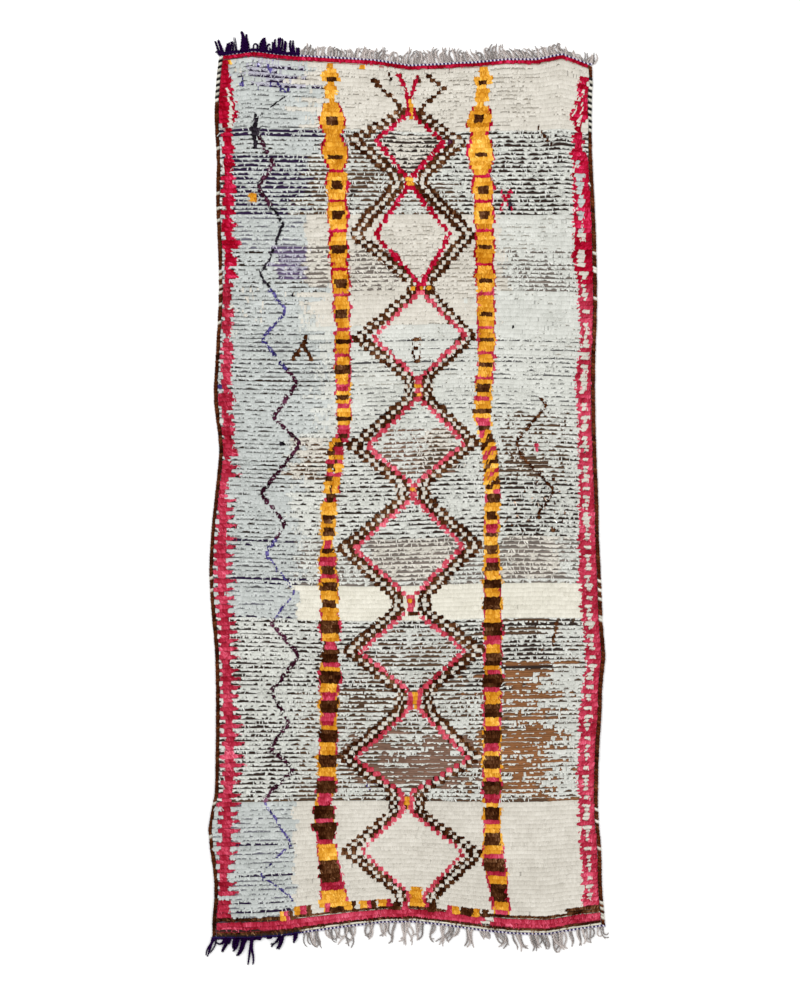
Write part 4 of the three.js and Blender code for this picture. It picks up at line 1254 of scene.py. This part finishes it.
def stamp(name, places, spans, turn, shade, ragged, weft, seed):
    """Copies of the tuft joined in one mesh, each with its place, span, turn, shade, raggedness and weft."""
    points, faces, cell = tuft_shape()
    count = len(places)
    body = points[None] * spans[:, None, :]
    cos, sin = np.cos(turn)[:, None], np.sin(turn)[:, None]
    x = body[..., 0] * cos - body[..., 1] * sin
    y = body[..., 0] * sin + body[..., 1] * cos
    body = np.stack((x, y, body[..., 2]), -1) + places[:, None, :]
    corners = np.concatenate(faces)
    starts = np.cumsum([0] + [len(f) for f in faces])[:-1]
    step = np.arange(count)[:, None]
    mesh = bpy.data.meshes.new(name)
    mesh.vertices.add(count * len(points))
    mesh.vertices.foreach_set("co", body.reshape(-1))
    mesh.loops.add(count * len(corners))
    mesh.loops.foreach_set("vertex_index", (step * len(points) + corners).astype(np.int32).reshape(-1))
    mesh.polygons.add(count * len(faces))
    mesh.polygons.foreach_set("loop_start", (step * len(corners) + starts).astype(np.int32).reshape(-1))
    mesh.update(calc_edges=True)
    columns = math.ceil(math.sqrt(count))
    rows = -(-count // columns)
    maps = cell[None] * np.array((1 / columns, 1 / rows))
    maps = maps + np.stack((step[:, 0] % columns / columns, step[:, 0] // columns / rows), -1)[:, None, :]
    flat = points[corners][None] * spans[:, None, :] / MM
    fibres = flat[..., :2] + np.random.default_rng(seed).uniform(0, FIBRE_SPREAD, (count, 1, 2))
    for label, values in (("OFBake", maps), ("fibre", fibres)):
        mesh.uv_layers.new(name=label).data.foreach_set("uv", values.reshape(-1))
    tip = -points[:, 1]
    # Painted light and shade: each tuft is darker at its root, under the row above, and lighter at its crest,
    # which draws painted lines between the rows
    ridge = np.interp(tip, (0, 0.8, 1), (-1, 0.5, -0.2))
    for label, values in (("shade", np.repeat(shade, len(points))), ("ridge", np.tile(ridge, count)),
                          ("ragged", np.repeat(ragged, len(points))), ("tip", np.tile(tip, count))):
        mesh.attributes.new(label, "FLOAT", "POINT").data.foreach_set("value", values.astype(np.float32))
    tones = np.repeat(np.concatenate((weft, np.ones((count, 1))), 1), len(points), 0).astype(np.float32)
    mesh.attributes.new("weft", "FLOAT_COLOR", "POINT").data.foreach_set("color", tones.reshape(-1))
    return mesh


# How far above the middle of its row a tuft is rooted, and how far it is sunk in the cloth
TUFT_ROOT = 6.2
TUFT_SUNK = 0.6
STRAY_ROOT = 4.6

# How rare the stray fibres are, from -1 for one on each tuft to 1 for none
STRAY_LEVEL = 0.56
MOTIF_STRAY_LEVEL = 0.2

# Tufts beyond this place lean outwards with their border
BORDER_FROM = 480
BORDER_LEAN = 0.5

# Wools that are dyed or dark, wools that are pale, and the pieces of pile: the wool and the rows it spans
STRONG_WOOLS = ("crimson", "rose", "pink", "yellow", "brown")
PALE_WOOLS = ("cream", "white", "mint", "lilac", "ivory")
Batch = namedtuple("Batch", "wool top end", defaults=[0, KNOT_ROWS])
BATCHES = table(Batch,
    ("white", 0, 90), ("white", 90), ("mint",), ("cream", 0, 90), ("cream", 90),
    *((wool,) for wool in WOOLS if wool not in ("mint", "cream", "white")))


def make_pile():
    """Rows of cut tufts that lie towards the foot end, one piece for each wool and stretch of the rug."""
    chart = rug_chart()
    rows, across = chart.rows, chart.across
    leaning, knotted, full = chart.slope != 0, chart.knotted, chart.full
    ground, high = sizes().ground_high / MM, sizes().pile_high / MM
    single = {seed: drift(seed, across, rows, TUFT) for seed in (22, 23, 25, 26, 27, 29)}
    sway = 1.3 * drift(21, across, rows, 45) + 0.8 * single[22]
    strong = np.isin(chart.wool, [WOOLS.index(name) for name in STRONG_WOOLS])
    combed = 0.07 * drift(24, across, rows, 60, 3) + 0.10 * drift(32, across, rows, 22) + 0.07 * single[25]
    outwards = np.where(abs(across) > BORDER_FROM, BORDER_LEAN, 0) * np.sign(across)
    tousled = 0.34 * drift(34, across, rows, 15) + 0.16 * single[25] - outwards
    lean = np.where(leaning, chart.slope, np.where(knotted, tousled, combed))
    swollen = np.where(full, 1.2, np.where(strong, 0.82, 1.0))
    wide = sizes().tuft_wide / MM / 2 * (1.06 + 0.2 * single[26]) * swollen * chart.slim
    weft = tones_of("weft_", WEFTS)[chart.weft]
    ragged = np.where(knotted | full, 0.0, 1.0)
    rise = (high - ground) * (1 + 0.18 * single[27] + 0.10 * drift(28, across, rows, 90, 4))
    lift = np.where(leaning, 0.65, np.where(knotted, 0.25, np.where(full, 0.4, 0.0)))
    tone = np.where(full, 0.4, 0.8) * single[29] + 0.5 * drift(30, across, rows, 30)
    tone = tone + 0.35 * drift(31, across, rows, 120, 6)
    tone = tone + np.where(knotted, 0, 1.6 * np.clip(1.8 - 2 * chart.cover, 0, 1))
    loose = drift(33, across, rows, TUFT) > np.where(knotted, MOTIF_STRAY_LEVEL, STRAY_LEVEL)
    for batch in BATCHES:
        hit = (chart.wool == WOOLS.index(batch.wool)) & ~chart.gone & (rows >= batch.top) & (rows < batch.end)
        if not hit.any():
            continue
        stray = hit & loose & (chart.bare < 0.2)

        def both(of_tuft, of_stray):
            return np.concatenate((of_tuft[hit], of_stray[stray]))

        x = both(across + single[23], across + 2.4 * single[27])
        y = both(chart.along + TUFT_ROOT + sway - chart.drop, chart.along + STRAY_ROOT + 2 * single[26])
        z = both(ground - TUFT_SUNK + lift * rise, ground + 0.5 * rise)
        reach = both(ROW_PITCH * chart.cover, ROW_PITCH * (0.95 + 0.2 * single[22]))
        spans = np.stack((both(wide, 0.34 * wide), reach, both(rise * (1 - lift), 0.6 * rise)), -1) * MM
        name = "pile_" + batch.wool + ("" if batch.end - batch.top == KNOT_ROWS else f"_{batch.top}")
        mesh = stamp(name, np.stack((x, y, z), -1) * MM, spans, both(lean, lean + 0.8 * single[29]),
                     both(tone, tone + 0.5), both(ragged, 0 * ragged), both(weft, weft), batch.top + 5)
        pale = batch.wool in PALE_WOOLS
        shade, streak, sheen, specular = (0.14, 0.45, 0.15, 0.15) if pale else (0.5, 0.9, 0.0, 0.02)
        tint = getattr(colours(), "pile_" + batch.wool)
        wool = wool_finish(name + "_wool", tint, shade, 0.12, streak, sheen, specular, pale)
        finish_piece(name, mesh, [wool], ["field"], "field_wool")
        mesh.shade_flat()


# Ground cloth

CLOTH_COLUMNS = 112

# How far the cloth rises where its pile is worn away, and the height of the rib at the middle of each row
BARE_RISE = 1.6
RIB = 0.8

# The cloth's map: how much of it the face takes, where the back starts, and the back's own measures in metres
FACE_MAP = 0.8
BACK_MAP_FROM = 0.82
BACK_WIDE = 1.2
BACK_LONG = 2.7


def map_cloth(faces, bake, fibre, first, share, wide, long):
    """Unrolls faces of the cloth on a strip of its map and on its own measures."""
    for face in faces:
        for loop in face.loops:
            u, v = loop.vert.co.x / wide + 0.5, loop.vert.co.y / long + 0.5
            loop[bake].uv = (first + share * u, v)
            loop[fibre].uv = (u * CLOTH_WIDE, v * CLOTH_LONG)


def make_ground():
    """The cloth that the knots are tied in, with wefts that change colour from row to row."""
    chart = rug_chart()
    bm = bmesh.new()
    bake = bm.loops.layers.uv.new("OFBake")
    fibre = bm.loops.layers.uv.new("fibre")
    weft = bm.verts.layers.float_color.new("weft")
    pile = bm.verts.layers.float_color.new("pile")
    gap = bm.verts.layers.float.new("gap")
    bmesh.ops.create_grid(bm, x_segments=CLOTH_COLUMNS, y_segments=LINES, size=0.5)
    map_cloth(bm.faces, bake, fibre, 0, FACE_MAP, 1, 1)
    verts = list(bm.verts)
    share = np.array([v.co.x + 0.5 for v in verts])
    line = np.rint(np.array([(v.co.y + 0.5) * LINES for v in verts])).astype(int)
    across, along = field_place(share, line)
    row = np.clip(KNOT_ROWS - 1 - line // 2, 0, KNOT_ROWS - 1)
    tuft = np.clip((share * TUFTS).astype(int), 0, TUFTS - 1)
    tones = tones_of("weft_", WEFTS)[chart.weft[row, tuft]]
    tones = tones * (1 + 0.10 * drift(41, across, row, 40) + 0.08 * drift(42, across, row, 150, 4))[:, None]
    # Under the tufts the cloth takes their wool, a little darker as painted shade beneath the pile
    wools = tones_of("pile_", WOOLS)[chart.wool[row, tuft]] * 0.93
    opened = np.where(chart.bare[row, tuft] > 0.2, 1.5, 0.97 - chart.cover[row, tuft])
    high = sizes().ground_high / MM + np.where(line % 2 == 1, RIB, 0) + BARE_RISE * chart.bare[row, tuft]
    for vert, x, y, z, tone, wool, open_share in zip(verts, across, along, high, tones, wools, opened):
        vert.co = milli(x, y, z)
        vert[weft] = (*tone, 1)
        vert[pile] = (*wool, 1)
        vert[gap] = open_share
    hem, edges = extruded(bm, [edge for edge in bm.edges if edge.is_boundary])
    for vert in hem:
        vert.co.z = 0
    sole = bmesh.ops.contextual_create(bm, geom=edges)["faces"]
    map_cloth(sole, bake, fibre, BACK_MAP_FROM, 1 - BACK_MAP_FROM, BACK_WIDE, BACK_LONG)
    for face in sole:
        face.material_index = 1
    bmesh.ops.recalc_face_normals(bm, faces=bm.faces)
    back = back_finish("cloth_back", tuple(colours().weft_cream), tuple(colours().weft_dusk))
    cloth = finish_piece("ground_cloth", finished(bm, "ground_cloth"), [cloth_finish("ground_weft"), back],
                         ["field"], "field_wool")
    with_pieces = [o for o in bpy.context.scene.objects if o.get("rug_piece") and o != cloth]


# Overcast sides

# Rows from the head end over which a share of a side's stitches are black or white
Stitching = namedtuple("Stitching", "side top end black white")
STITCHING = table(Stitching,
    (-1, 0, 11, 0.5, 0.5), (1, 3, 16, 0.5, 0.5), (-1, 120, 131, 0, 0.3), (-1, 174, 196, 0, 0.2),
    (-1, 44, 64, 0, 0.22), (-1, 16, 44, 0, 0.1), (1, 39, 58, 0, 0.2), (1, 121, 133, 0, 0.3),
    (1, 174, 202, 0, 0.2))

# One stitch along its cord: where its stations lie in it, and how full the cord is there
STITCH = ((0.0, 0.8), (0.3, 1.0), (0.7, 1.0))
STITCH_SLANT = 2.6
CORD_REST = 0.15


def stitch_wool(side, row, count):
    """Wool of one stitch: two colours in turn, white ones among brown ones, or brown that varies."""
    here = [s for s in STITCHING if s.side == side and s.top <= row < s.end]
    brown = tuple(c * (0.8 if side < 0 else 1) for c in colours().side_brown)
    if not here:
        light = 1 + 0.35 * unevenness(count, side) + 0.25 * unevenness(count // 7, side + 3)
        return tuple(c * light for c in brown)
    if here[0].black:
        return tuple(colours().side_black if count % 2 else colours().side_white)
    draw = 0.5 + 0.5 * unevenness(count, side + 5)
    return tuple(colours().side_white) if draw < here[0].white else brown


def make_selvedge(side, name):
    """Cord along one side, overcast with slanting stitches."""
    along, across = side_stations(side)
    middle = across + side * (GAP + SELVEDGE_WIDE / 2)
    wraps = int((along[-1] - along[0]) / (sizes().wrap_pitch / MM))
    stations = []
    for count in range(wraps):
        for part, full in STITCH:
            y = along[0] + (count + part) * (along[-1] - along[0]) / wraps
            x = float(np.interp(y, along, middle))
            puff = full * (1 + 0.09 * unevenness(count, 2))
            high = SELVEDGE_HIGH / 2 * puff
            wool = stitch_wool(side, (along[-1] - y) / ROW_PITCH, count)
            # Random tone of each stitch, and painted shade at its start, in the groove between two wraps
            shade = 0.6 * unevenness(count, 4) - (0.9 if part == 0 else 0)
            slant = milli(-SELVEDGE_WIDE / 2 * puff, side * STITCH_SLANT * puff, 0)
            stations.append(Station(milli(x, y, high + CORD_REST), slant, milli(0, 0, high), wool, shade))
    yarns = Yarns()
    yarns.sweep(stations, 10, lanes=12, lobes=0)
    stitches = name + "_stitches"
    wool = wool_finish(name + "_wool", None, 0.4, 0.0, 0.7, 0.0, 0.03)
    finish_piece(stitches, yarns.mesh(stitches, 12), [wool], [name], "selvedge_wool")


# Twined strips along the ends

TWINE_STEPS = 7
TWINE_RISE = 1.7
TWINE_SWAY = 0.5
TWINE_THICK = 1.6

# Both yarns of a strip: the share of a turn by which they differ, their height, half width and slot
Twine = namedtuple("Twine", "label part high half slot_name")
TWINES = table(Twine, ("purple", 0.0, 3.9, 3.3, "purple_wool"), ("pale", 0.5, 3.5, 3.4, "grey_wool"))


def make_twining(outward, end):
    """Two yarns twined along an end, one purple and one pale, which also turns purple at the foot's left."""
    across, along = strip_line(outward)
    count = int((across[-1] - across[0]) / (sizes().twine_pitch / MM) * TWINE_STEPS)
    for twine in TWINES:
        stations = []
        for k in range(count + 1):
            x = across[0] + (across[-1] - across[0]) * k / count
            y = float(np.interp(x, across, along)) + outward * (STRIP_WIDE / 2)
            phase = 2 * math.pi * (k / TWINE_STEPS + twine.part)
            turn = k // TWINE_STEPS
            pale = outward > 0 or x > STRIP_CHANGE + 60 * unevenness(turn, outward)
            tone = colours().twine_pale if twine.label == "pale" and pale else colours().twine_violet
            stations.append(Station(
                milli(x, y + TWINE_SWAY * math.cos(phase), twine.high + TWINE_RISE * math.sin(phase)),
                milli(0, twine.half, 0), milli(0, 0, TWINE_THICK), tuple(tone), 0.5 * unevenness(turn, 3)))
        yarns = Yarns()
        yarns.sweep(stations, 5, lanes=24)
        name = f"{end}_twine_{twine.label}"
        nodes = [f"{end}_fringe_purple", f"{end}_fringe_grey"]
        wool = wool_finish(name + "_wool", None, 0.12, 0.0, 0.3)
        finish_piece(name, yarns.mesh(name, 24), [wool], nodes, twine.slot_name)


# Fringes: where a clump is rooted, its count of locks, their width, how far they reach from the strip,
# how far their tips are swept across, and how much the tips curl
Clump = namedtuple("Clump", "start stop locks wide reach sweep curl", defaults=[0])
HEAD_PURPLE = table(Clump,
    (-566, -322, 30, 8, 9, 0), (-562, -548, 2, 8, 40, -16), (-556, -546, 1, 7, 14, -24, -1.5),
    (-541, -528, 2, 8, 38, -2), (-528, -519, 1, 9, 40, -2), (-513, -507, 1, 4, 50, -1),
    (-496, -478, 2, 11, 55, -3), (-486, -474, 1, 10, 50, 2), (-464, -456, 1, 4, 34, 6, 2.5),
    (-452, -446, 1, 4, 30, 4, -2.5), (-443, -425, 2, 10, 42, 12), (-428, -420, 1, 7, 28, 10, 1.0),
    (-412, -404, 1, 6, 20, -4), (-401, -388, 2, 9, 40, -4), (-388, -373, 2, 9, 50, 2),
    (-370, -362, 1, 8, 42, 2), (-347, -333, 2, 9, 40, -2), (-331, -321, 1, 9, 26, -1))
HEAD_GREY = table(Clump,
    (-320, -226, 12, 6, 38, 2, 1.0), (-226, -158, 9, 6, 36, 0, -1.2), (-158, -106, 7, 6, 40, 8, 1.3),
    (-106, -54, 7, 6, 42, 12, 0.8), (-54, -10, 6, 6, 38, 4, -1.0), (-10, 34, 6, 6, 50, 6, 1.1),
    (34, 78, 6, 6, 48, -4, -1.2), (78, 116, 5, 6, 54, -16, 0.6), (116, 164, 7, 6, 44, -18, 1.2),
    (164, 234, 9, 6, 40, -16, -1.0), (234, 296, 8, 6, 44, -18, 1.1), (296, 386, 12, 6, 38, -14, -1.2),
    (386, 472, 12, 6, 36, -16, 1.0), (472, 532, 8, 6, 30, -10, -0.8), (532, 564, 5, 6, 36, 10, 0.6))
FOOT_PURPLE = table(Clump,
    (-584, -577, 1, 7, 64, -24), (-575, -568, 1, 7, 47, -23), (-546, -539, 1, 8, 31, -28, -1.4),
    (-540, -532, 1, 8, 42, -20), (-533, -526, 1, 7, 19, -9), (-515, -499, 2, 10, 38, -18),
    (-492, -476, 2, 11, 50, -22), (-490, -434, 6, 10, 10, -2), (-468, -456, 1, 9, 80, -6),
    (-420, -404, 1, 13, 8, 0), (-384, -372, 1, 10, 33, -34), (-378, -366, 1, 10, 42, -18),
    (-340, -326, 1, 10, 28, -5), (-580, -322, 24, 6, 4, 0))
FOOT_GREY = table(Clump,
    (-312, -262, 5, 6, 54, 22), (-246, -196, 4, 6, 48, 4, 1.5), (-186, -152, 3, 7, 68, -14),
    (-122, -94, 2, 8, 62, -8), (-84, -48, 3, 7, 54, -4), (-40, -26, 1, 8, 74, -2), (-16, 14, 3, 7, 74, 4),
    (24, 56, 2, 8, 60, -3), (76, 88, 1, 8, 54, -22, 1.2), (100, 144, 4, 7, 60, -16),
    (152, 164, 1, 7, 46, -22), (174, 206, 2, 8, 58, 3), (214, 246, 3, 6, 36, 10, 1.5),
    (260, 300, 3, 7, 58, 12), (312, 346, 3, 7, 58, 18), (366, 420, 5, 7, 56, 14), (428, 474, 4, 8, 66, 10),
    (486, 498, 1, 7, 52, 0), (508, 560, 4, 7, 56, 6), (572, 594, 2, 6, 44, 10, 1.4))


# Each fringe: its end and wool, the form and table of its clumps, how much darker some strands are, as
# painted shade between strands, how far its strands stray from their clump, how thick they are as a share of
# its width, and its seed
Fringe = namedtuple("Fringe", "end wool form clumps uneven stray thick seed")
FRINGES = table(Fringe,
    ("head", "purple", "locks", HEAD_PURPLE, 0.1, 0.25, 1.25, 51),
    ("head", "grey", "strands", HEAD_GREY, 0.5, 1.4, 1.05, 52),
    ("foot", "purple", "locks", FOOT_PURPLE, 0.1, 0.25, 1.2, 53),
    ("foot", "grey", "strands", FOOT_GREY, 0.5, 1.5, 1.05, 54))
PLIES = 2

# Share of the way that the strands of a small clump and of a long row of locks close up towards the middle
GATHER = 0.65
ROW_GATHER = 0.12
ROW_LOCKS = 5

# A strand: the length of its steps, the height at which it leaves its strip, and its flatness
STRAND_STEP = 4
STRAND_HIGH = 3.0
STRAND_REST = 0.1
STRAND_FLAT = 0.62


def strand(yarns, rng, root, outward, thick, reach, sweep, curl, wave, tone):
    """One twisted strand that leaves its strip and lies on the floor, wandering and curling a little."""
    steps = max(8, int(reach / STRAND_STEP))
    lean = math.atan2(sweep, reach) + rng.uniform(-0.12, 0.12)
    wobble, phase = rng.uniform(-wave, wave), rng.uniform(0, 6.28)
    x, y = root
    step = math.hypot(sweep, reach) / steps
    up = Vector((0, 0, 1))
    stations = []
    for k in range(steps + 1):
        t = k / steps
        heading = lean * (0.6 + 0.6 * t) + wobble * math.sin(5 * t + phase) + curl * max(0, t - 0.55) / 0.45
        if k:
            x += step * math.sin(heading)
            y += outward * step * math.cos(heading)
        half = thick / 2 * (1 - 0.5 * t ** 2)
        rest = half + STRAND_REST
        z = rest + (STRAND_HIGH - rest) * max(0, 1 - 3 * t) + 0.5 * math.sin(math.pi * t)
        side = Vector((math.cos(heading), -outward * math.sin(heading), 0))
        twist = 2 * math.pi * k * step / (sizes().strand_pitch / MM) + phase
        stations.append(Station(
            milli(x, y, max(z, rest)), (side * math.cos(twist) + up * math.sin(twist)) * half * MM,
            (up * math.cos(twist) - side * math.sin(twist)) * (half * STRAND_FLAT) * MM, tone,
            rng.uniform(-0.2, 0.2)))
    yarns.sweep(stations, 6, pointed=True)


def make_fringe(fringe):
    """Loose warp ends of one end strip: each lock is a few strands that lean together."""
    rng = np.random.default_rng(fringe.seed)
    outward = 1 if fringe.end == "head" else -1
    tone = tuple(getattr(colours(), "warp_" + fringe.wool))
    across, along = strip_line(outward)
    yarns = Yarns()
    for clump in fringe.clumps:
        room = (clump.stop - clump.start) / clump.locks
        gather = GATHER if clump.locks < ROW_LOCKS else ROW_GATHER
        for lock in range(clump.locks):
            x = clump.start + room * (lock + 0.5)
            reach = clump.reach * rng.uniform(0.88, 1.2)
            for ply in range(PLIES):
                root = x + (ply - (PLIES - 1) / 2) * clump.wide * 0.5
                y = float(np.interp(root, across, along)) + outward * STRIP_WIDE / 2
                # Some strands are darker as painted shade between the strands; the rest of the spread is
                # random tone
                light = 1 + rng.uniform(-0.05, 0.14) - (fringe.uneven if rng.random() < 0.45 else 0)
                ply_reach = reach * rng.uniform(1 - 0.12 * fringe.stray, 1)
                closing = gather * ((clump.start + clump.stop) / 2 - root)
                sweep = clump.sweep + fringe.stray * rng.uniform(-5, 5) + closing
                curl = clump.curl + fringe.stray * rng.uniform(-1.0, 1.0)
                strand(yarns, rng, (root, y), outward, clump.wide * fringe.thick, ply_reach, sweep, curl,
                       0.2 + 0.3 * fringe.stray, tuple(c * light for c in tone))
    columns = math.ceil(math.sqrt(len(yarns.lanes) * 2))
    name = f"{fringe.end}_{fringe.form}_{fringe.wool}"
    specular = 0.02 if fringe.wool == "purple" else 0.15
    wool = wool_finish(name + "_wool", None, 0.15, 0.28, 0.35, 0.0, specular)
    finish_piece(name, yarns.mesh(name, columns), [wool], [f"{fringe.end}_fringe_{fringe.wool}"],
                 fringe.wool + "_wool")


# Operators, one for each group of like pieces and one for the stage

class RugPile(bpy.types.Operator):
    """Adds the rows of cut pile, one piece for each wool"""

    bl_idname = "rug.pile"
    bl_label = "Pile"

    def execute(self, context):
        make_pile()
        return {"FINISHED"}


class RugSelvedges(bpy.types.Operator):
    """Adds the overcast cords of both sides"""

    bl_idname = "rug.selvedges"
    bl_label = "Selvedges"

    def execute(self, context):
        make_selvedge(-1, "left_selvedge")
        make_selvedge(1, "right_selvedge")
        return {"FINISHED"}


class RugTwining(bpy.types.Operator):
    """Adds the two-coloured twined strip of both ends"""

    bl_idname = "rug.twining"
    bl_label = "Twined ends"

    def execute(self, context):
        make_twining(1, "head")
        make_twining(-1, "foot")
        return {"FINISHED"}


class RugFringes(bpy.types.Operator):
    """Adds the purple and the grey-white warp ends at both ends"""

    bl_idname = "rug.fringes"
    bl_label = "Fringes"

    def execute(self, context):
        for fringe in FRINGES:
            make_fringe(fringe)
        return {"FINISHED"}


class RugGround(bpy.types.Operator):
    bl_idname = "rug.ground"
    bl_label = "Ground cloth"

    def execute(self, context):
        make_ground()
        return {"FINISHED"}


# Camera straight above the rug, lights and floor
CAMERA_LENS = 85
CAMERA_HIGH = 7.083
CAMERA_ACROSS = -0.0195
Lamp = namedtuple("Lamp", "name place size power")
LAMPS = table(Lamp, ("key", (-2.2, 2.6, 4.6), 4.0, 170), ("fill", (3.0, -2.4, 4.6), 4.0, 75))
SKY_STRENGTH = 0.78
FLOOR_HALF = 8
FLOOR_LEVEL = -0.0004


def place_object(name, data, place):
    """A new object of the stage, which is no piece of the rug."""
    obj = bpy.data.objects.new(name, data)
    obj.location = place
    bpy.context.scene.collection.objects.link(obj)
    return obj


def make_floor():
    """Plain pale floor with a very faint grain."""
    bm = bmesh.new()
    bmesh.ops.create_grid(bm, x_segments=1, y_segments=1, size=FLOOR_HALF)
    bmesh.ops.translate(bm, vec=(0, 0, FLOOR_LEVEL), verts=bm.verts)
    mesh = finished(bm, "floor")
    paint = Finish("floor_paint", 0.9)
    grain = paint.noise(paint.node("ShaderNodeTexCoord", output=3), scale=2.0)
    paint.set("Base Color", paint.scaled(tuple(colours().floor), 0.995 + grain * 0.01))
    mesh.materials.append(paint.material)
    place_object("floor", mesh, (0, 0, 0))


class RugStage(bpy.types.Operator):
    """Adds the plain pale floor, the soft lights and the camera straight above the rug"""

    bl_idname = "rug.stage"
    bl_label = "Stage"

    def execute(self, context):
        scene = context.scene
        make_floor()
        for row in LAMPS:
            lamp = bpy.data.lights.new(row.name, "AREA")
            lamp.size = row.size
            lamp.energy = row.power
            lamp_object = place_object(row.name, lamp, row.place)
            lamp_object.rotation_euler = (-Vector(row.place)).to_track_quat("-Z", "Y").to_euler()
        world = bpy.data.worlds.new("studio")
        world.use_nodes = True
        background = world.node_tree.nodes["Background"]
        background.inputs["Color"].default_value = (1, 1, 1, 1)
        background.inputs["Strength"].default_value = SKY_STRENGTH
        scene.world = world
        scene.view_settings.view_transform = "Standard"
        camera = bpy.data.cameras.new("camera")
        camera.lens = CAMERA_LENS
        scene.camera = place_object("camera", camera, (CAMERA_ACROSS, 0, CAMERA_HIGH))
        return {"FINISHED"}


OPERATORS = [RugPile, RugSelvedges, RugTwining, RugFringes, RugGround, RugStage]


class RugPanel(bpy.types.Panel):
    """Sidebar panel that lists the rug's sizes, colours and pieces"""

    bl_idname = "VIEW3D_PT_rug"
    bl_label = "Rug"
    bl_space_type = "VIEW_3D"
    bl_region_type = "UI"
    bl_category = "Rug"

    def draw(self, context):
        for group in (context.scene.rug_sizes, context.scene.rug_colours):
            for name in group.__annotations__:
                self.layout.prop(group, name)
        for operator in OPERATORS:
            self.layout.operator(operator.bl_idname)


CLASSES = [RugSizes, RugColours, *OPERATORS, RugPanel]


def register():
    for item in CLASSES:
        bpy.utils.register_class(item)
    bpy.types.Scene.rug_sizes = PointerProperty(type=RugSizes)
    bpy.types.Scene.rug_colours = PointerProperty(type=RugColours)


def unregister():
    del bpy.types.Scene.rug_colours
    del bpy.types.Scene.rug_sizes
    for item in reversed(CLASSES):
        bpy.utils.unregister_class(item)


def main():
    """Adds every piece and the stage in order."""
    register()
    for operator in OPERATORS:
        group, name = operator.bl_idname.split(".")
        getattr(getattr(bpy.ops, group), name)()


if __name__ == "__main__":
    main()
